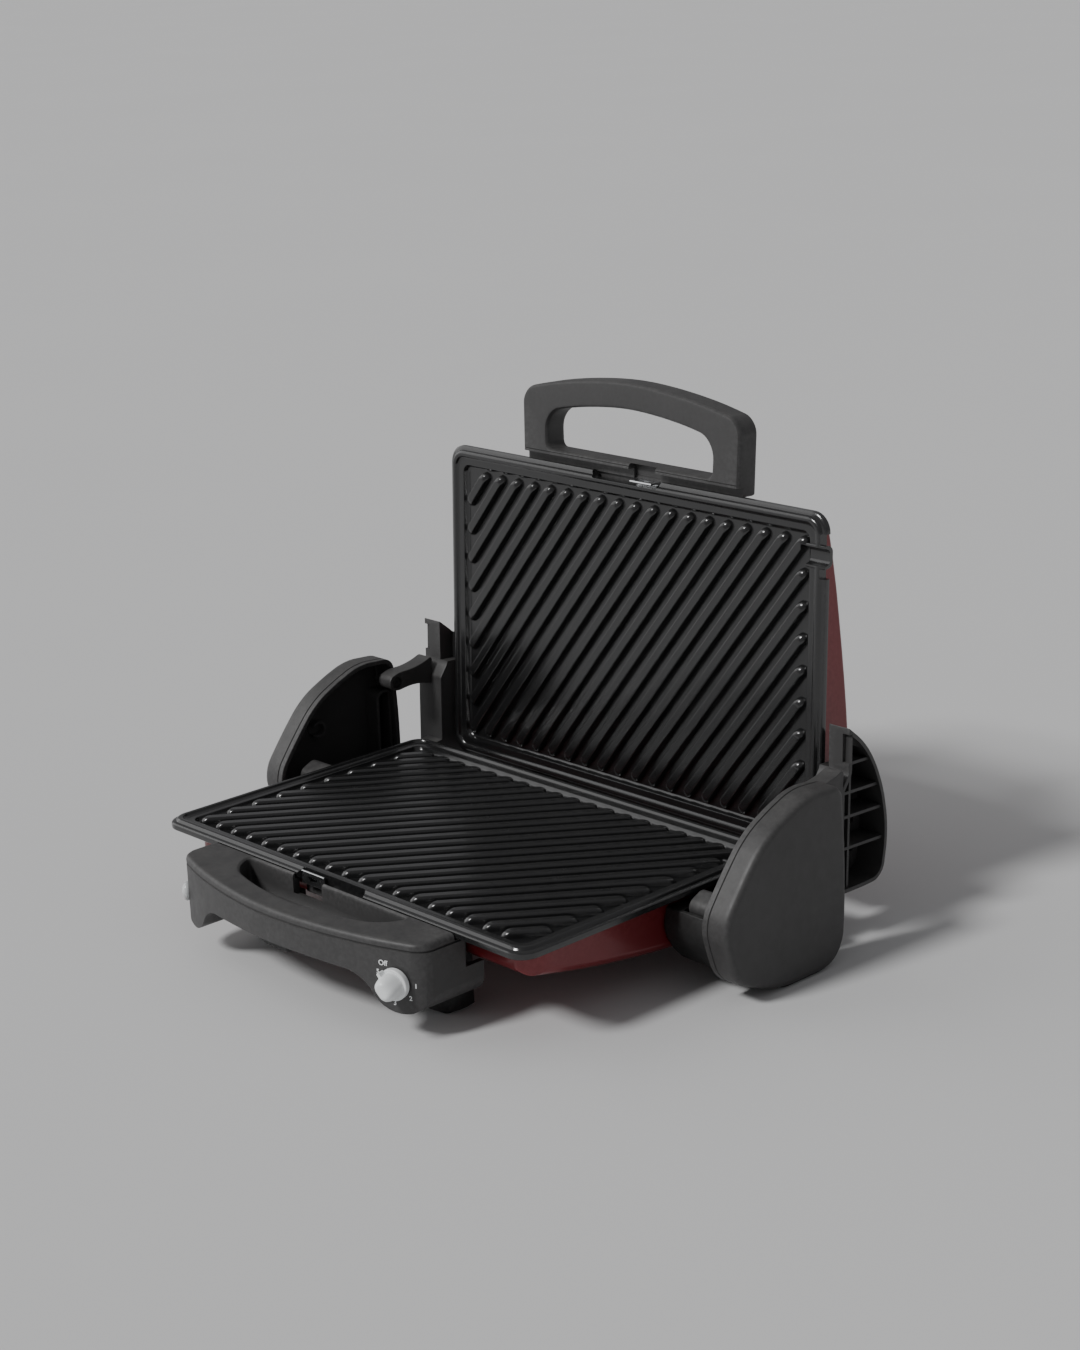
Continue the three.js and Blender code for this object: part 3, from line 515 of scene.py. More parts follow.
def rod(axis, radius, at, start, end, soft=0.0, segments=32):
    """A round bar through (u, v) along an axis."""
    shape = bmesh.new()
    bmesh.ops.create_cone(shape, cap_ends=True, segments=segments, radius1=radius, radius2=radius,
                          depth=abs(end - start))
    if soft > 0:
        rims = [e for e in shape.edges if abs(e.verts[0].co.z - e.verts[1].co.z) < 1e-6]
        rounded(shape, rims, soft, 3)
    bmesh.ops.translate(shape, verts=shape.verts, vec=(at[0], at[1], (start + end) / 2))
    bmesh.ops.transform(shape, matrix=ALONG[axis], verts=shape.verts)
    bmesh.ops.recalc_face_normals(shape, faces=shape.faces)
    return shape


CUT_SCALE = 0.01                    # a shape in millimetres is cut at this size
WELD = 0.002                        # points nearer than this become one after a cut


def combine(body, tool, operation):
    """Cuts a tool out of a body, joins it on or keeps what both share. Both shapes are used up."""
    hosts = []
    for shape in (body, tool):
        mesh = bpy.data.meshes.new("work")
        bmesh.ops.scale(shape, vec=(CUT_SCALE,) * 3, verts=shape.verts)
        shape.to_mesh(mesh)
        shape.free()
        host = bpy.data.objects.new("work", mesh)
        bpy.context.scene.collection.objects.link(host)
        hosts.append(host)
    step = hosts[0].modifiers.new("work", "BOOLEAN")
    step.operation = operation
    step.solver = "EXACT"
    step.object = hosts[1]
    bpy.context.view_layer.update()
    made = bpy.data.meshes.new_from_object(hosts[0].evaluated_get(bpy.context.evaluated_depsgraph_get()))
    result = bmesh.new()
    result.from_mesh(made)
    bpy.data.meshes.remove(made)
    for host in hosts:
        mesh = host.data
        bpy.data.objects.remove(host)
        bpy.data.meshes.remove(mesh)
    if not result.faces:
        raise RuntimeError("a cut or a join left nothing")
    bmesh.ops.scale(result, vec=(1 / CUT_SCALE,) * 3, verts=result.verts)
    bmesh.ops.remove_doubles(result, verts=result.verts, dist=WELD)
    return result


def cut(body, *tools):
    for tool in tools:
        body = combine(body, tool, "DIFFERENCE")
    return body


def join(body, *tools):
    for tool in tools:
        body = combine(body, tool, "UNION")
    return body


def make_piece(name, shape, place, body, slot, stands_for=(), soft=0.0, corner=35.0):
    """Turns a shape into a finished piece that rides on a body. Edges sharper than `corner` stay crisp."""
    bmesh.ops.transform(shape, matrix=place, verts=shape.verts)
    bmesh.ops.recalc_face_normals(shape, faces=shape.faces)
    mesh = bpy.data.meshes.new(name)
    shape.to_mesh(mesh)
    shape.free()
    mesh.shade_smooth()
    piece = bpy.data.objects.new(name, mesh)
    bpy.context.scene.collection.objects.link(piece)
    if soft > 0:
        edge = piece.modifiers.new("Soft edges", "BEVEL")
        edge.width = soft * MM
        edge.segments = 2
        edge.limit_method = "ANGLE"
        edge.angle_limit = math.radians(corner)
        edge.use_clamp_overlap = False
        edge.harden_normals = True
    else:
        mesh.set_sharp_from_angle(angle=math.radians(corner))
        even = piece.modifiers.new("Even normals", "WEIGHTED_NORMAL")
        even.keep_sharp = True
    mesh.materials.append(finish_for(slot))
    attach(piece, body)
    if stands_for:
        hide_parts(*stands_for)
    return piece


def merged_copy(node):
    """A CAD node's mesh as one skin with its flat faces whole, in metres and already in place."""
    shape = bmesh.new()
    shape.from_mesh(frame["nodes"][node].data)
    bmesh.ops.remove_doubles(shape, verts=shape.verts, dist=1e-6)
    bmesh.ops.dissolve_limit(shape, angle_limit=math.radians(0.5), verts=shape.verts, edges=shape.edges)
    return shape


def side_span(side, inner, outer):
    return (inner, outer) if side > 0 else (-outer, -inner)


def side_box(side, inner, y0, z0, outer, y1, z1, soft=0.0):
    x0, x1 = side_span(side, inner, outer)
    return block((x0, y0, z0), (x1, y1, z1), soft)


# ---------- grill plates ----------

# Half width, corner and height of each ring over the plate's rim, from its underside to its field.
PLATE_RINGS = [
    (146.4, 7.4, -9.0), (147.0, 8.0, -8.5), (147.2, 8.0, -6.9), (148.0, 8.4, -6.5), (157.0, 11.0, -6.4),
    (157.8, 11.6, -5.8), (158.0, 11.8, -4.4), (157.8, 11.6, -2.9), (157.1, 11.0, -2.2), (156.2, 10.4, -2.0),
    (155.4, 9.9, -1.8), (154.8, 9.5, -0.9), (154.2, 9.0, -0.22), (153.4, 8.5, 0.0), (152.6, 8.0, 0.0),
    (151.8, 7.5, -0.25), (151.2, 7.1, -1.2), (150.4, 6.6, -1.75), (149.4, 6.2, -1.9), (146.8, 5.4, -1.9),
    (146.0, 5.1, -2.2), (145.4, 4.8, -3.8), (144.6, 4.5, -4.7), (143.4, 4.0, -5.0),
]
PLATE_NARROWER = 55                 # half width less half depth, the same for every ring
RIB_FIELD_X = 142.6
RIB_FIELD_Y = 87.6
# Share of the rib's half width, cut from its length at each end, and height.
RIB_RINGS = [(1.0, 0.0, -5.6), (0.97, 0.3, -4.6), (0.90, 1.0, -3.2), (0.84, 1.9, -2.2), (0.77, 3.0, -1.4),
             (0.68, 4.4, -1.0), (0.56, 6.0, -0.9)]
RECESS_HALF_X = 28


def grill_ribs(sizes):
    """All the slanted ribs, each a rounded bar with sloping ends."""
    along = Vector((math.cos(sizes.rib_angle), math.sin(sizes.rib_angle)))
    across = Vector((-along.y, along.x))
    last = int((RIB_FIELD_X * along.y + RIB_FIELD_Y * along.x) / sizes.rib_pitch)
    ribs = bmesh.new()
    for i in range(-last, last + 1):
        middle = across * (i * sizes.rib_pitch)
        spans = ((RIB_FIELD_X, middle.x, along.x), (RIB_FIELD_Y, middle.y, along.y))
        start = max((-half - at) / slope for half, at, slope in spans)
        end = min((half - at) / slope for half, at, slope in spans)
        if end - start < 2 * sizes.rib_width:
            continue
        half_length, half_width = (end - start) / 2, sizes.rib_width / 2
        rings = []
        for share, shorter, height in RIB_RINGS:
            length, width = half_length - shorter, half_width * share
            rings.append((rectangle(-length, -width, length, width, width * 0.98), height))
        rib = loft(rings, "z", 4)
        centre = middle + along * (start + end) / 2
        turn = Matrix.Translation((centre.x, centre.y, 0)) @ Matrix.Rotation(sizes.rib_angle, 4, "Z")
        bmesh.ops.transform(rib, matrix=turn, verts=rib.verts)
        append(ribs, rib)
    return ribs


def latch_recess(latch_end):
    """The step in the rim where the release clip sits, with slanted ends."""
    outer, inner = latch_end * 106, latch_end * 98.6
    corners = [(-RECESS_HALF_X - 2.5, outer, 0.4), (RECESS_HALF_X + 2.5, outer, 0.4),
               (RECESS_HALF_X - 1, inner, 1.5), (-RECESS_HALF_X + 1, inner, 1.5)]
    return bar("z", corners, -20, 10, 0, 4)


# Section (y, z) of the pouring spout and of its channel, about the spout's middle.
SPOUT_OUTSIDE = [(-7.0, -0.1, 0.9), (7.0, -0.1, 0.9), (6.6, -4.2, 2.0), (4.8, -7.4, 2.2), (-4.8, -7.4, 2.2),
                 (-6.6, -4.2, 2.0)]
SPOUT_CHANNEL = [(-5.4, 2.0, 0.2), (5.4, 2.0, 0.2), (5.2, -1.2, 1.0), (4.0, -4.6, 1.8), (-4.0, -4.6, 1.8),
                 (-5.2, -1.2, 1.0)]


def grill_plate(sizes, latch_end, spout_y):
    rings = []
    for x, reach, height in PLATE_RINGS:
        y = round(x - PLATE_NARROWER, 1)
        rings.append((rectangle(-x, -y, x, y, reach), height))
    plate = join(loft(rings, "z", 8), grill_ribs(sizes))
    # The lip stops short of the pouring spout on both sides.
    aside = block((154.6, spout_y - 13, -20), (200, spout_y + 13, 10), 0, 0.6)
    spout = bar("x", [(spout_y + y, z, reach) for y, z, reach in SPOUT_OUTSIDE], 144.5, 158.8, 0.5, 4)
    channel = bar("x", [(spout_y + y, z, reach) for y, z, reach in SPOUT_CHANNEL], 140, 162, 0, 4)
    return cut(join(cut(plate, aside, latch_recess(latch_end)), spout), channel)


class PRESS_OT_grill_plates(bpy.types.Operator):
    """Makes the two ribbed non-stick grill plates"""

    bl_idname = "press.grill_plates"
    bl_label = "Grill plates"

    def execute(self, context):
        sizes = context.scene.press_sizes
        make_piece("lower_grill_plate", grill_plate(sizes, -1, 72), PRESS, "base", "nonstick_coating",
                   ["lower_plate"])
        make_piece("upper_grill_plate", grill_plate(sizes, 1, 78), UPPER, "lid", "nonstick_coating",
                   ["upper_plate"])
        return {"FINISHED"}


# ---------- red shells ----------

# Depth of the lid's back behind the plate, from the hinge end to the handle end.
LID_BACK = [(-6.0, 29.5), (-4.5, 33.0), (-2.0, 36.2), (1.5, 38.4), (6.0, 39.4), (14, 39.7), (30, 39.4),
            (48, 38.7), (64, 37.6), (80, 35.8), (98, 33.3), (116, 30.5), (134, 27.5), (153, 24.2),
            (170, 20.6), (181, 18.0), (186, 16.7), (190, 15.5), (193.5, 14.3), (196, 13.2), (197.8, 12.3),
            (199, 11.2)]
LID_TOP = 199.0
LID_CORNER = 13.0
LID_FACE = 9.6
LID_EDGE = 3.0                      # rounding between the lid's back and its sides
LID_CROWN = 0.3


def lid_half_width(z):
    """The lid is as wide as the plate and rounds off at the handle end and a little at the hinge end."""
    top = max(0.0, z - (LID_TOP - LID_CORNER)) / LID_CORNER
    foot = max(0.0, 2.0 - z) / 8.0
    return 150 - LID_CORNER * (1 - math.sqrt(max(0.0, 1 - top * top * 0.98))) - 2.5 * foot * foot


def lid_cover(wall):
    rings = []
    for z, depth in LID_BACK:
        half = lid_half_width(z)
        crown = min(LID_CROWN, (depth - LID_FACE) * 0.05)
        reach = min(LID_EDGE, (depth - LID_FACE) * 0.6)
        rings.append(([(-half, LID_FACE, 0.05), (half, LID_FACE, 0.05), (half, depth - 2 * crown, reach),
                       (0, depth, 60), (-half, depth - 2 * crown, reach)], z))
    cover = loft(rings, "z", 6)
    mouth = [f for f in cover.faces if max(abs(v.co.y - LID_FACE) for v in f.verts) < 0.06]
    bmesh.ops.delete(cover, geom=mouth, context="FACES")
    bmesh.ops.recalc_face_normals(cover, faces=cover.faces)
    bmesh.ops.solidify(cover, geom=cover.faces[:], thickness=wall)
    tab_slots = [side_box(side, 61.4, 9.0, 180, 84.6, 12.2, 206) for side, _ in SIDES]
    tongue_slot = block((-33, 8.0, 196), (33, 9.9, 206))
    return cut(cover, tongue_slot, *tab_slots)


class PRESS_OT_lid_cover(bpy.types.Operator):
    """Makes the red cover of the lid"""

    bl_idname = "press.lid_cover"
    bl_label = "Lid cover"

    def execute(self, context):
        cover = lid_cover(context.scene.press_sizes.wall)
        make_piece("lid_cover", cover, LID, "lid", "red_enamel", ["lid_shell"])
        return {"FINISHED"}


# Side view (y, z, reach) of the base pan, without its open top.
PAN_SIDE = [(-90, 20, 0.1), (-90, -22, 7), (-25, -36, 40), (40, -42, 30), (114, -44, 14), (114, 20, 0.1)]
PAN_HALF_X = 148
PAN_EDGE = 6.0                      # rounding between the pan's sides and its bottom
PAN_TOP = -9.4
DECK_FRONT = 101


def pan_form(inset):
    """The outer form of the pan moved inwards, still closed and taller than the pan."""
    side = shrink(PAN_SIDE, inset)
    half = PAN_HALF_X - inset
    edge = max(PAN_EDGE - inset, 0.5)
    rings = []
    for degrees in (0, 22.5, 45, 67.5, 90):
        turn = math.radians(degrees)
        rings.append((shrink(side, edge * (1 - math.sin(turn))), half - edge * (1 - math.cos(turn))))
    left = [(corners, -x) for corners, x in rings]
    form = loft(left + rings[::-1], "x", 8)
    front, back = -90 + inset, 114 - inset
    plan = [(-half, front, 18), (half, front, 18), (half, back, 10), (-half, back, 10)]
    return combine(form, loft([(plan, -60), (plan, 40)], "z", 10), "INTERSECT")


def base_pan(wall):
    """An open pan with a closed deck at its back."""
    above = block((-200, -200, PAN_TOP), (200, 200, 60))
    deck = block((-200, DECK_FRONT, PAN_TOP - wall), (200, 200, 60))
    return cut(pan_form(0), above, cut(pan_form(wall), deck))


def vent_slots():
    """Two rows of cooling slots under the base."""
    slots = bmesh.new()
    for row_y in (-6, 46):
        for i in range(-7, 8):
            corners = rectangle(i * 9 - 1.7, row_y - 15, i * 9 + 1.7, row_y + 15, 1.6)
            append(slots, bar("z", corners, -50, -38, 0, 5))
    return slots


class PRESS_OT_base_pan(bpy.types.Operator):
    """Makes the red pan of the base with its cooling slots"""

    bl_idname = "press.base_pan"
    bl_label = "Base pan"

    def execute(self, context):
        pan = cut(base_pan(context.scene.press_sizes.wall), vent_slots())
        pan = cut(pan, rod("y", 6.2, (-96, -34), 100, 130), rod("x", 4.8, (HINGE.y, HINGE.z), -160, 160))
        make_piece("base_pan", pan, PRESS, "base", "red_enamel", ["base_shell"])
        return {"FINISHED"}


# ---------- front handle ----------

GRIP_PLAN = [(-106, -83.5, 0.3), (-106, -127, 8), (-46.2, -147.9, 44), (46.2, -147.9, 44), (106, -127, 8),
             (106, -83.5, 0.3)]
# Insets and heights of the rings round the top edge: a soft edge, then a fine shadow line under it.
GRIP_RINGS = [(0.0, -60.0), (0.0, -8.4), (0.9, -8.0), (0.9, -7.3), (0.0, -6.9), (0.0, -5.2), (0.5, -3.9),
              (1.5, -3.2), (2.8, -3.0)]
# Seen from the front the handle hangs lower in two lobes at its ends; from the side they rise to the back.
GRIP_FRONT = [(-106, 20, 0.1), (-106, -42, 9), (-84, -46, 11), (-68, -25, 10), (0, -22, 40), (68, -25, 10),
              (84, -46, 11), (106, -42, 9), (106, 20, 0.1)]
GRIP_SIDE = [(-170, 20, 0.1), (-170, -47, 0.1), (-118, -47, 7), (-108, -41.5, 5), (-60, -41.5, 0.1),
             (-60, 20, 0.1)]
LOWER_EDGE = 1.1                    # rounding of the handle's lower edge
POCKET = [(-70, -105.6, 4), (-63, -121, 11), (-24, -132.1, 24), (24, -132.1, 24), (63, -121, 11),
          (70, -105.6, 4)]
POCKET_RINGS = [(3.4, -19.5), (1.6, -18.9), (0.6, -17.0), (0.0, -14.0), (0.0, -5.4), (-0.5, -3.9),
                (-1.5, -3.2), (-2.6, -2.95), (-2.6, 4.0)]


def front_grip_body():
    body = loft([(shrink(GRIP_PLAN, inset), z) for inset, z in GRIP_RINGS], "z", 10)
    body = combine(body, bar("y", GRIP_FRONT, -170, -60, 0), "INTERSECT")
    return combine(body, bar("x", GRIP_SIDE, -130, 130, 0), "INTERSECT")


def front_grip():
    body = front_grip_body()
    edge = [e for e in body.edges if e.is_manifold and e.calc_face_angle(0) > math.radians(55)
            and max(v.co.z for v in e.verts) < -20 and min(v.co.y for v in e.verts) < -90]
    rounded(body, edge, LOWER_EDGE, 3, clamp_overlap=True)
    pocket = loft([(shrink(POCKET, inset), z) for inset, z in POCKET_RINGS], "z", 8)
    under_plate = block((-130, -103.8, -7.0), (130, -60, 10))
    under_belly = block((-130, -93, -9.6), (130, -60, 0))
    latch_room = block((-30, -105.7, -16), (-4, -94, 10))
    rear_room = block((-102, -101, -20), (102, -78.5, -8.5))
    end_gaps = block((-120, -96.5, -24.4), (120, -80, 5))
    right_room = block((74, -121, -39.5), (102.5, -60, -8.5))
    left_room = block((-102.5, -121, -39.5), (-74, -60, -8.5))
    tab_room = block((-20, -136.2, -26), (24, -130.8, -14))
    body = cut(body, pan_form(-0.8), pocket, under_plate, under_belly, latch_room, rear_room, end_gaps)
    latch_back = block((-31, -95.2, -17), (-3, -94.4, -7.2))
    return join(cut(body, right_room, left_room, tab_room), latch_back)


class PRESS_OT_front_grip(bpy.types.Operator):
    """Makes the front handle with its finger pocket"""

    bl_idname = "press.front_grip"
    bl_label = "Front handle"

    def execute(self, context):
        make_piece("front_grip", front_grip(), PRESS, "base", "black_plastic", ["front_handle"])
        return {"FINISHED"}


# ---------- lid handle ----------

LOOP_OUTER = [(-90, 199.6, 1.2), (-91, 245, 9.5), (-38, 257.4, 38), (38, 257.4, 38), (91, 245, 9.5),
              (90, 199.6, 1.2)]
LOOP_INNER = [(-69, 209, 4), (-70, 232, 12), (-27.6, 241.0, 28), (27.6, 241.0, 28), (70, 232, 12),
              (69, 209, 4)]
# Insets from the outline and depths of the rings round the handle's section.
LOOP_EDGE = [(2.4, 2.2), (1.2, 2.5), (0.3, 3.7), (0.0, 5.2), (0.0, 16.2), (0.3, 17.6), (1.2, 18.7),
             (2.4, 19.0)]


def carry_loop():
    rings = [(shrink(LOOP_OUTER, inset), depth) for inset, depth in LOOP_EDGE]
    rings += [(shrink(LOOP_INNER, -inset), depth) for inset, depth in reversed(LOOP_EDGE)]
    loop = loft(rings, "y", 8, closed=True)
    rim_room = block((-120, -20, 190), (120, 7.4, 205.6))
    seam = block((-120, -20, 207.0), (120, 3.0, 207.5))
    latch_room = block((2, -20, 190), (24, 9.6, 208.9))
    # A thin tongue stands behind the recess of the upper plate's rim.
    tongue = block((-32, 9.1, 186), (32, 9.6, 201))
    return join(cut(loop, rim_room, seam, latch_room), tongue)


class PRESS_OT_lid_handle(bpy.types.Operator):
    """Makes the loop handle on the lid"""

    bl_idname = "press.lid_handle"
    bl_label = "Lid handle"

    def execute(self, context):
        loop = carry_loop()
        for side, _ in SIDES:
            loop = join(loop, side_box(side, 62, 9.9, 184, 84, 11.6, 206, 0.2))
        make_piece("carry_loop", loop, LID, "lid", "black_plastic", ["lid_handle"])
        return {"FINISHED"}


# ---------- side pods and brackets ----------

POD = [(104, 47, 9), (90, 48, 8), (76, 49, 12), (54, 40.5, 14), (37, 31, 14), (19, 10, 16), (4.5, -10, 14),
       (9.5, -29, 14), (16, -46, 14), (50, -59.4, 12), (93, -59.4, 8), (105, -49, 9), (108, -8, 28)]
# Inset from the outline and distance from the middle: inner floor, mouth, parting line, outer face.
POD_RINGS = [(3.6, 198.0), (3.1, 197.4), (2.9, 183.3), (2.6, 183.0), (0.3, 183.0), (0.0, 183.3),
             (0.0, 186.6), (0.6, 186.9), (0.6, 187.4), (0.0, 187.7), (0.0, 196.6), (0.25, 198.6),
             (1.0, 200.0), (2.2, 200.8), (4.0, 201.0)]
POD_SCREWS = [(66, -48), (86, -46)]
# Side view of the closed rib that stiffens a pod's rear wall.
POD_REAR_RIB = [(90, -40, 2), (103, -40, 2), (103, 26, 4), (91, 26, 6)]


def side_pod(side):
    rings = [(shrink(POD, inset), side * x) for inset, x in POD_RINGS]
    shell = loft(rings, "x", 6)
    for at in POD_SCREWS:
        x0, x1 = side_span(side, 183.2, 198.4)
        boss = cut(rod("x", 4.5, at, x0, x1, 0.3), rod("x", 2.1, at, *side_span(side, 180, 195)))
        shell = join(shell, boss)
    ring = cut(rod("x", 5.6, (47, 10), *side_span(side, 192.5, 198.4)),
               rod("x", 3.8, (47, 10), *side_span(side, 190, 197.4)),
               side_box(side, 190, 40, 7, 197.4, 47, 13))
    rib = bar("x", POD_REAR_RIB, *side_span(side, 186, 198.4), 0.4)
    rib = cut(rib, bar("x", shrink(POD_REAR_RIB, 2), *side_span(side, 184, 199), 0))
    shell = join(shell, ring, rib)
    return cut(shell, pad_room(side))


def pad_room(side):
    return side_box(side, 158, 53, -65, 199, 91, -58.1)


class PRESS_OT_side_pods(bpy.types.Operator):
    """Makes the two pods at the sides with their inner ribs and bosses"""

    bl_idname = "press.side_pods"
    bl_label = "Side pods"

    def execute(self, context):
        for side, word in SIDES:
            make_piece(f"side_pod_{word}", side_pod(side), PRESS, "base", "black_plastic", [f"pod_{word}"])
        return {"FINISHED"}


class PRESS_OT_bracket_cups(bpy.types.Operator):
    """Makes the cups between the base and the pods and the rests for the lid arms"""

    bl_idname = "press.bracket_cups"
    bl_label = "Bracket cups"

    def execute(self, context):
        for side, word in SIDES:
            make_piece(f"bracket_cup_{word}", merged_copy(f"bracket_{word}"), ALREADY_PLACED, "base",
                       "dark_plastic", [f"bracket_{word}"], soft=0.5)
            x0, x1 = side_span(side, 160.4, 181)
            rest = bar("x", [(18, -9, 6), (34, -2, 6), (37, -14, 3), (24, -22, 3)], x0, x1, 0.8)
            make_piece(f"arm_rest_{word}", rest, PRESS, "base", "black_plastic", [f"lid_rest_{word}"])
        return {"FINISHED"}


# ---------- lid arms ----------

ARM = [(-7, -17, 0.8), (14, -16.5, 6), (32, -15, 9), (36, 14, 12), (29, 46, 14), (14, 70, 10), (-2, 82, 0.8),
       (-1.5, 55, 2), (-7.5, 46, 1)]
ARM_IN = 160
ARM_OUT = 182
ARM_RIBS = (9.5, 28.5, 43, 60)
LIMB = [(-6, 40, 1), (-20, 43, 8), (-36.5, 40.2, 3), (-42.5, 43, 3), (-42.5, 50, 3), (-34.5, 53, 3),
        (-20, 53.4, 8), (-6, 59, 3)]
LUG_AT = (-22.6, -9.3)
NECK = [(-22.6, 0.7, 0.5), (-5, 4, 0.5), (-5, -17, 0.5), (-22.6, -19.3, 0.5)]
STUD_HEIGHTS = (1.5, 19)
# Above the limb the front of the arm starts further out: where, from what height, how deep, how thick.
STEP_IN = 167
STEP_FOOT = 56
STEP_BACK = 9
STEP_WALL = 2.2


def lid_arm(side):
    inner, outer = side_span(side, ARM_IN, ARM_OUT)
    arm = bar("x", ARM, inner, outer, 0.6)
    arm = cut(arm, bar("x", shrink(ARM, 2.6), *side_span(side, ARM_IN + 3, ARM_OUT + 5), 0))
    ribs = [side_box(side, ARM_IN + 1, -8, z - 0.9, ARM_OUT - 2, 38, z + 0.9) for z in ARM_RIBS]
    frame_work = join(side_box(side, ARM_IN + 1, 1, -18, ARM_OUT - 2, 2.8, 70), *ribs)
    bounds = bar("x", shrink(ARM, 1), inner, outer, 0)
    frame_work = combine(frame_work, bounds, "INTERSECT")
    room = [side_box(side, ARM_IN + 3, 6, z - 5.6, ARM_IN + 7, 30, z + 5.6) for z in STUD_HEIGHTS]
    arm = join(arm, cut(frame_work, *room))
    out, low, high = STEP_IN + STEP_WALL, STEP_FOOT - STEP_WALL, 95
    below_tip = side_box(side, 177, -20, 61, ARM_OUT + 1, 0.6, 78)
    arm = cut(arm, side_box(side, ARM_IN - 1, -20, STEP_FOOT, STEP_IN, STEP_BACK, high), below_tip)
    step = join(side_box(side, STEP_IN, -20, low, out, STEP_BACK, high),
                side_box(side, ARM_IN, -20, low, STEP_IN + 0.1, STEP_BACK, STEP_FOOT),
                side_box(side, ARM_IN, STEP_BACK - 0.1, low, out, STEP_BACK + STEP_WALL, high))
    arm = join(arm, combine(step, bar("x", shrink(ARM, 1), inner, outer, 0), "INTERSECT"))
    limb = bar("x", LIMB, *side_span(side, ARM_OUT - 12, ARM_OUT), 0.8)
    lug = rod("x", 11, LUG_AT, *side_span(side, ARM_IN, ARM_IN + 14), 0.6, 40)
    neck = bar("x", NECK, *side_span(side, ARM_IN + 0.1, ARM_IN + 13.9), 0)
    arm = join(arm, limb, neck, lug)
    slots = [side_box(side, ARM_IN - 1, 13 - 3.4, z - 3.4, ARM_IN + 4, 23 + 3.4, z + 3.4)
             for z in STUD_HEIGHTS]
    bore = rod("x", 4.35, LUG_AT, *side_span(side, ARM_IN - 5, ARM_OUT))
    pin_bore = rod("x", 3.9, (-36.5, 46), *side_span(side, ARM_OUT - 15, ARM_OUT + 1))
    return cut(arm, bore, pin_bore, *slots)


class PRESS_OT_lid_arms(bpy.types.Operator):
    """Makes the two ribbed arms that carry the lid"""

    bl_idname = "press.lid_arms"
    bl_label = "Lid arms"

    def execute(self, context):
        for side, word in SIDES:
            make_piece(f"swing_arm_{word}", lid_arm(side), LID, "arms", "black_plastic",
                       [f"lid_arm_{word}"])
        return {"FINISHED"}


# ---------- controls ----------

# Depth, half width and half height of each ring of the knob's grip, from the disc outwards.
KNOB_RINGS = [(-3.9, 7.2, 7.6), (-5.5, 6.9, 7.5), (-8.0, 6.3, 7.2), (-10.5, 5.6, 6.7), (-12.4, 4.7, 6.1),
              (-13.6, 3.7, 5.3), (-14.3, 2.6, 4.4), (-14.6, 1.4, 3.3)]
MARK_RAISED = 0.06                  # thickness of a printed mark in millimetres
MARK_BOLD = 0.08
MARK_GAP = 0.02                     # between the mark and the handle under it, in millimetres
MARK_REACH = 0.02                   # a mark is dropped from this far out, in metres
# Word, distance from the knob's middle in millimetres, direction in degrees and letter size.
MARKS = (("Off", 12.7, 127, 4.2), ("5", 12.0, 157, 3.7), ("1", 11.9, -2, 3.7), ("2", 11.6, -42, 3.7),
         ("3", 11.9, -96, 3.7), ("4", 11.9, -150, 3.7))


def dial_knob():
    disc = rod("y", 9, (0, 0), -4.4, -0.6, 0.7, 64)
    rings = [(rectangle(-half, -tall, half, tall, half * 0.98), depth) for depth, half, tall in KNOB_RINGS]
    pointer = bar("y", [(-1.7, -2, 0.5), (1.7, -2, 0.5), (0.9, 9.8, 0.8), (-0.9, 9.8, 0.8)], -9.0, -3.9, 0.4)
    return join(disc, loft(rings, "y", 8), pointer)


class PRESS_OT_dial(bpy.types.Operator):
    """Makes the heat knob and the printed marks round it"""

    bl_idname = "press.dial"
    bl_label = "Heat dial"

    def execute(self, context):
        make_piece("heat_knob", dial_knob(), KNOB, "knob", "white_plastic", ["thermostat_knob"])
        grip = bpy.data.objects["front_grip"]
        surface = BVHTree.FromObject(grip, context.evaluated_depsgraph_get())
        for word, distance, angle, height in MARKS:
            self.print_mark(word, distance, math.radians(angle), height, surface)
        return {"FINISHED"}

    def print_mark(self, word, distance, angle, height, surface):
        letters = bpy.data.curves.new(f"letters_{word}", "FONT")
        letters.body = word
        letters.size = height
        letters.align_x = "CENTER"
        letters.align_y = "CENTER"
        letters.extrude = MARK_RAISED
        letters.offset = MARK_BOLD
        carrier = bpy.data.objects.new("letters", letters)
        bpy.context.scene.collection.objects.link(carrier)
        bpy.context.view_layer.update()
        mesh = bpy.data.meshes.new_from_object(
            carrier.evaluated_get(bpy.context.evaluated_depsgraph_get()))
        bpy.data.objects.remove(carrier)
        bpy.data.curves.remove(letters)
        shape = bmesh.new()
        shape.from_mesh(mesh)
        bpy.data.meshes.remove(mesh)
        bmesh.ops.remove_doubles(shape, verts=shape.verts, dist=0.001)
        place = Matrix.Translation((distance * math.cos(angle), 0, distance * math.sin(angle)))
        upright = place @ Matrix.Rotation(math.pi / 2, 4, "X")
        bmesh.ops.transform(shape, matrix=DIAL @ upright, verts=shape.verts)
        outward = (DIAL.to_3x3() @ Vector((0, -1, 0))).normalized()
        centre = DIAL @ place.translation
        for vert in shape.verts:
            rise = (vert.co - centre).dot(outward)
            start = vert.co + outward * (MARK_REACH - rise)
            hit = surface.ray_cast(start, -outward, 3 * MARK_REACH)[0]
            if hit is None:
                raise RuntimeError(f"the mark {word} misses the front handle")
            vert.co = hit + outward * (rise + MARK_GAP * MM)
        make_piece(f"dial_mark_{word}", shape, ALREADY_PLACED, "base", "white_plastic")


LENS_AT = Vector((-103.8, -127.2, -26.5))
LENS_YAW = math.radians(-45)
LENS_RADIUS = 5
LENS_SHAPE = (1, 0.64, 1.16)


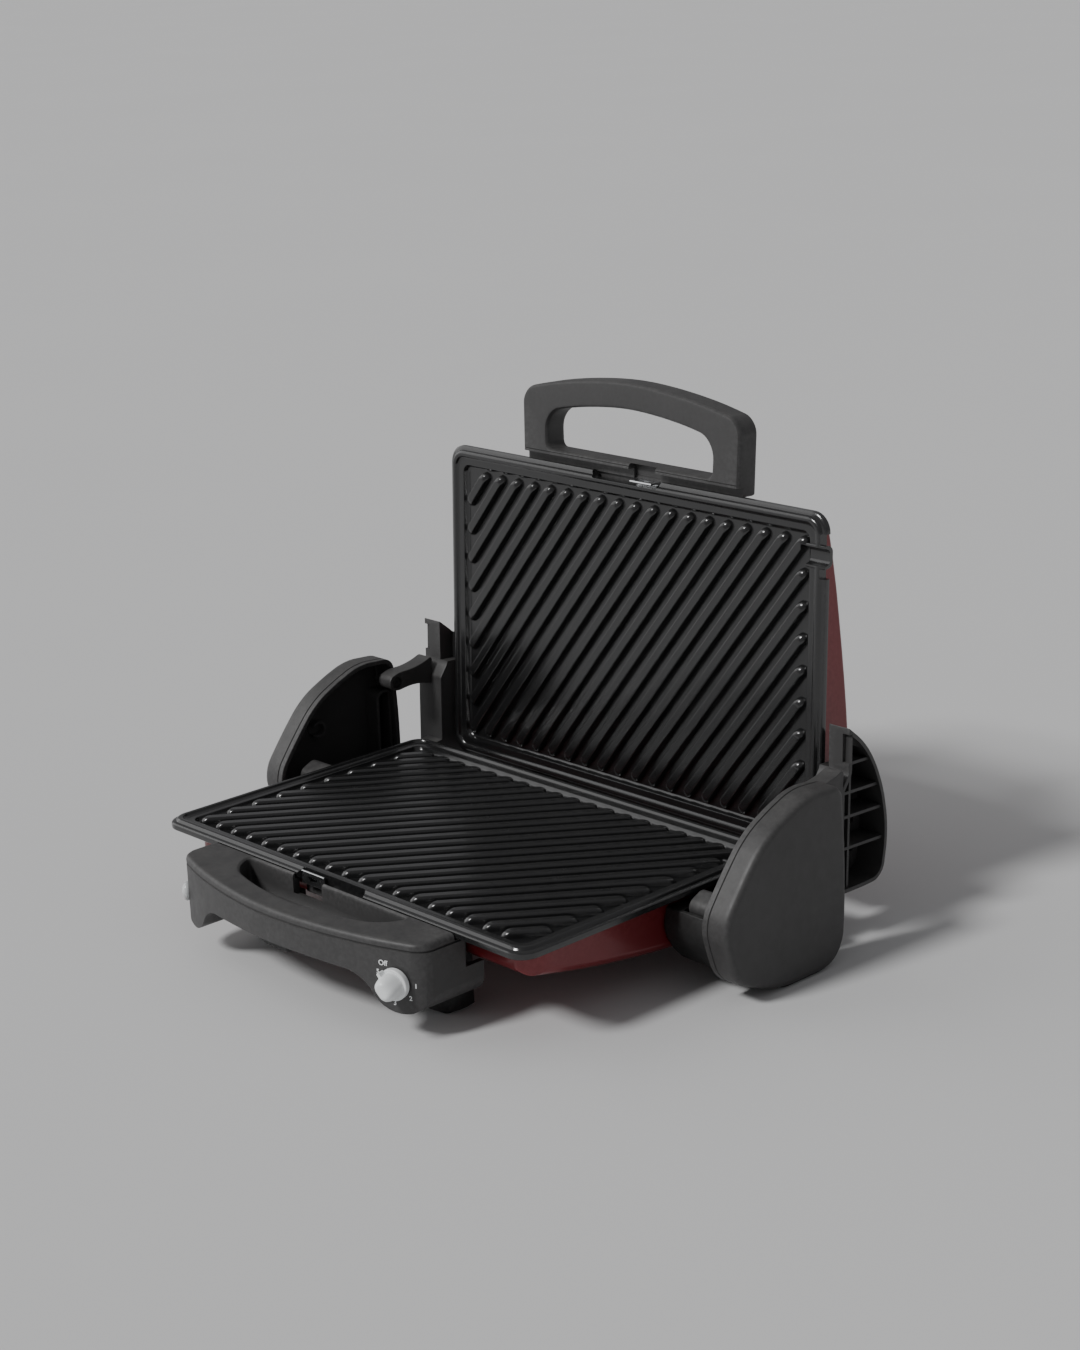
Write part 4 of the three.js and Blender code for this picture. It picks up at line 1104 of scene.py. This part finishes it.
class PRESS_OT_indicator(bpy.types.Operator):
    """Makes the indicator lens"""

    bl_idname = "press.indicator"
    bl_label = "Indicator lens"

    def execute(self, context):
        lens = bmesh.new()
        bmesh.ops.create_uvsphere(lens, u_segments=40, v_segments=20, radius=LENS_RADIUS)
        bmesh.ops.scale(lens, vec=LENS_SHAPE, verts=lens.verts)
        place = PRESS @ Matrix.Translation(LENS_AT) @ Matrix.Rotation(LENS_YAW, 4, "Z")
        make_piece("indicator_dome", lens, place, "base", "lamp_lens", ["indicator_lens"])
        return {"FINISHED"}


# ---------- small parts ----------

# Side view (y, z) of a release clip: an upright spring blade with a rolled top and a hook under the rim.
CLIP_SIDE = [(100.2, -1.2, 0.2), (100.6, -1.0, 0.2), (101.4, -1.3, 0.3), (101.4, -9.0, 0.5),
             (94.6, -9.0, 0.3), (94.6, -7.2, 0.3), (100.2, -7.2, 0.4)]


def release_clip(latch_end, x0, x1):
    clip = bar("x", [(latch_end * y, z, reach) for y, z, reach in CLIP_SIDE], x0, x1, 0.25, 3)
    middle = (x0 + x1) / 2
    blade = latch_end * 100.8
    window = block((middle - 4, blade - 4, -6.4), (middle + 4, blade + 4, -3.6), 0, 0.8)
    hook = latch_end * 98
    notches = [block((x - 1.6, hook - 3.2, -12), (x + 1.6, hook + 1.2, -5)) for x in (x0, x1)]
    return cut(clip, window, *notches)


class PRESS_OT_release_clips(bpy.types.Operator):
    """Makes the spring clips that hold the grill plates"""

    bl_idname = "press.release_clips"
    bl_label = "Release clips"

    def execute(self, context):
        make_piece("lower_release_clip", release_clip(-1, -27, -7), PRESS, "lower_latch",
                   "latch_spring_steel", ["lower_latch"])
        make_piece("upper_release_clip", release_clip(1, 4, 22), UPPER, "upper_latch",
                   "latch_spring_steel", ["upper_latch"])
        return {"FINISHED"}


class PRESS_OT_lock_tab(bpy.types.Operator):
    """Makes the sliding lock tab under the front handle"""

    bl_idname = "press.lock_tab"
    bl_label = "Lock tab"

    def execute(self, context):
        tab = bar("z", rectangle(-15, -141, 8, -125.5, 2), -30, -24.8, 0.9)
        stem = block((-9, -135.6, -25.5), (2, -131.4, -16))
        tab = join(tab, stem)
        grooves = [block((x - 0.5, -142, -31), (x + 0.5, -136, -29.3)) for x in (-11, -8, -5, -2, 1, 4)]
        tab = cut(tab, *grooves)
        make_piece("lock_tab", tab, PRESS, "lock_slider", "dark_plastic", ["lock_slider"])
        return {"FINISHED"}


# Radius and distance behind the pan of each step of the cord gland, outside then back through its bore.
GLAND_STEPS = [(3.6, -13), (6.0, -13), (6.0, 0.4), (9.4, 0.4), (10.0, 1.0), (10.0, 2.4), (9.4, 3.0),
               (7.0, 3.1), (6.5, 4.0), (6.3, 6.0), (5.7, 6.4), (6.1, 7.0), (5.9, 9.0), (5.4, 9.4),
               (5.7, 10.0), (5.4, 12.8), (4.6, 14.0), (3.6, 13.8)]
GLAND_AT = Vector((-96, 114, -34))


class PRESS_OT_cord_gland(bpy.types.Operator):
    """Makes the gland where the mains lead would leave the base"""

    bl_idname = "press.cord_gland"
    bl_label = "Cord gland"

    def execute(self, context):
        gland = bmesh.new()
        verts = [gland.verts.new((radius, depth, 0)) for radius, depth in GLAND_STEPS]
        edges = [gland.edges.new(pair) for pair in zip(verts, verts[1:] + verts[:1])]
        bmesh.ops.spin(gland, geom=verts + edges, cent=(0, 0, 0), axis=(0, 1, 0), angle=2 * math.pi,
                       steps=40, use_merge=True)
        bmesh.ops.remove_doubles(gland, verts=gland.verts, dist=0.001)
        make_piece("lead_gland", gland, PRESS @ Matrix.Translation(GLAND_AT), "base", "dark_plastic",
                   ["cord_gland"])
        return {"FINISHED"}


def treaded_pad(x0, y0, x1, y1, low, high, reach):
    """A rubber pad with shallow grooves across its sole."""
    pad = block((x0, y0, low), (x1, y1, high), 0.5, reach)
    count = int((y1 - y0 - 8) / 5)
    first = (y0 + y1) / 2 - 2.5 * (count - 1)
    grooves = [block((x0 + 3, first + 5 * i - 0.8, low - 1), (x1 - 3, first + 5 * i + 0.8, low + 0.5))
               for i in range(count)]
    return cut(pad, *grooves)


class PRESS_OT_feet(bpy.types.Operator):
    """Makes the front feet and the four rubber pads"""

    bl_idname = "press.feet"
    bl_label = "Feet and pads"

    def execute(self, context):
        for side, word in SIDES:
            make_piece(f"stub_foot_{word}", merged_copy(f"front_foot_{word}"), ALREADY_PLACED, "base",
                       "dark_plastic", [f"front_foot_{word}"], soft=0.5)
            x0, x1 = side_span(side, 61.4, 84.6)
            front = treaded_pad(x0, -93.6, x1, -74.4, -60, -57, 3)
            make_piece(f"front_sole_{word}", front, PRESS, "base", "rubber_feet", [f"front_pad_{word}"])
            x0, x1 = side_span(side, 158.6, 198.4)
            rear = treaded_pad(x0, 53.6, x1, 90.4, -60, -58.4, 5)
            make_piece(f"rear_sole_{word}", rear, PRESS, "base", "rubber_feet", [f"rear_pad_{word}"])
        return {"FINISHED"}


class PRESS_OT_inner_finishes(bpy.types.Operator):
    """Gives every CAD part that still shows the finish of its slot"""

    bl_idname = "press.inner_finishes"
    bl_label = "Inner finishes"

    def execute(self, context):
        slots = {entry["node"]: entry["material_slot"] for entry in frame["record"]["subparts"]}
        for name, part in frame["nodes"].items():
            if part.hide_render:
                continue
            part.data.materials.clear()
            part.data.materials.append(finish_for(slots[name]))
        return {"FINISHED"}


# ---------- stage ----------

CAMERA_AT = (1.0875, -0.9609, 0.5951)
CAMERA_TURN = (math.radians(47.0), math.radians(17.0), math.radians(-2.2))
# Name, direction it comes from, strength and apparent width in degrees of each soft light.
LIGHTS = (("key_light", (-0.15, -0.70, 0.70), 2.2, 12), ("fill_light", (-0.85, -0.40, 0.35), 0.9, 60))


SKY_COLOUR = (0.8, 0.8, 0.82, 1)
SKY_STRENGTH = 0.30


class PRESS_OT_stage(bpy.types.Operator):
    """Makes the floor, the soft lights and the camera"""

    bl_idname = "press.stage"
    bl_label = "Stage"

    def execute(self, context):
        sizes = context.scene.press_sizes
        self.lay_floor(sizes.floor_size, context.scene.press_colours)
        for name, source, strength, width in LIGHTS:
            self.hang_light(name, Vector(source), strength, math.radians(width))
        world = bpy.data.worlds.new("studio")
        world.use_nodes = True
        world.node_tree.nodes["Background"].inputs["Color"].default_value = SKY_COLOUR
        world.node_tree.nodes["Background"].inputs["Strength"].default_value = SKY_STRENGTH
        context.scene.world = world
        lens = bpy.data.cameras.new("camera")
        lens.lens = sizes.camera_lens
        lens.sensor_width = 36
        camera = bpy.data.objects.new("camera", lens)
        turn, tilt, roll = CAMERA_TURN
        camera.matrix_world = (Matrix.Translation(CAMERA_AT) @ Matrix.Rotation(turn, 4, "Z")
                               @ Matrix.Rotation(math.pi / 2 - tilt, 4, "X") @ Matrix.Rotation(roll, 4, "Z"))
        context.scene.collection.objects.link(camera)
        context.scene.camera = camera
        return {"FINISHED"}

    def lay_floor(self, size, colours):
        shape = bmesh.new()
        bmesh.ops.create_grid(shape, x_segments=2, y_segments=2, size=size / 2)
        mesh = bpy.data.meshes.new("floor")
        shape.to_mesh(mesh)
        shape.free()
        made, tree, shader = material_and_shader("floor")
        drift = effect(tree, "colour_drift", scale=2.0, amount=0.015)
        drift.inputs["Colour"].default_value = tuple(colours.floor)
        tree.links.new(drift.outputs["Colour"], shader.inputs["Base Color"])
        shader.inputs["Roughness"].default_value = 0.9
        shader.inputs["Specular IOR Level"].default_value = 0.1
        mesh.materials.append(made)
        floor = bpy.data.objects.new("floor", mesh)
        bpy.context.scene.collection.objects.link(floor)

    def hang_light(self, name, source, strength, width):
        lamp = bpy.data.lights.new(name, "SUN")
        lamp.energy = strength
        lamp.angle = width
        light = bpy.data.objects.new(name, lamp)
        light.matrix_world = (-source).to_track_quat("-Z", "Y").to_matrix().to_4x4()
        bpy.context.scene.collection.objects.link(light)


# ---------- add-on ----------

PIECES = (
    PRESS_OT_grill_plates, PRESS_OT_lid_cover, PRESS_OT_base_pan, PRESS_OT_front_grip, PRESS_OT_lid_handle,
    PRESS_OT_side_pods, PRESS_OT_bracket_cups, PRESS_OT_lid_arms, PRESS_OT_dial, PRESS_OT_indicator,
    PRESS_OT_release_clips, PRESS_OT_lock_tab, PRESS_OT_cord_gland, PRESS_OT_feet, PRESS_OT_inner_finishes,
    PRESS_OT_stage,
)


class PRESS_PT_panel(bpy.types.Panel):
    bl_idname = "PRESS_PT_panel"
    bl_label = "Panini Press"
    bl_space_type = "VIEW_3D"
    bl_region_type = "UI"
    bl_category = "Panini Press"

    def draw(self, context):
        for piece in PIECES:
            self.layout.operator(piece.bl_idname)
        for group in (context.scene.press_sizes, context.scene.press_colours):
            for name in group.__annotations__:
                self.layout.prop(group, name)


CLASSES = (PressSizes, PressColours, *PIECES, PRESS_PT_panel)


def register():
    for made in CLASSES:
        bpy.utils.register_class(made)
    bpy.types.Scene.press_sizes = bpy.props.PointerProperty(type=PressSizes)
    bpy.types.Scene.press_colours = bpy.props.PointerProperty(type=PressColours)


def unregister():
    del bpy.types.Scene.press_sizes
    del bpy.types.Scene.press_colours
    for made in reversed(CLASSES):
        bpy.utils.unregister_class(made)


def main():
    register()
    for piece in PIECES:
        getattr(bpy.ops.press, piece.bl_idname.split(".")[1])()


if __name__ == "__main__":
    main()
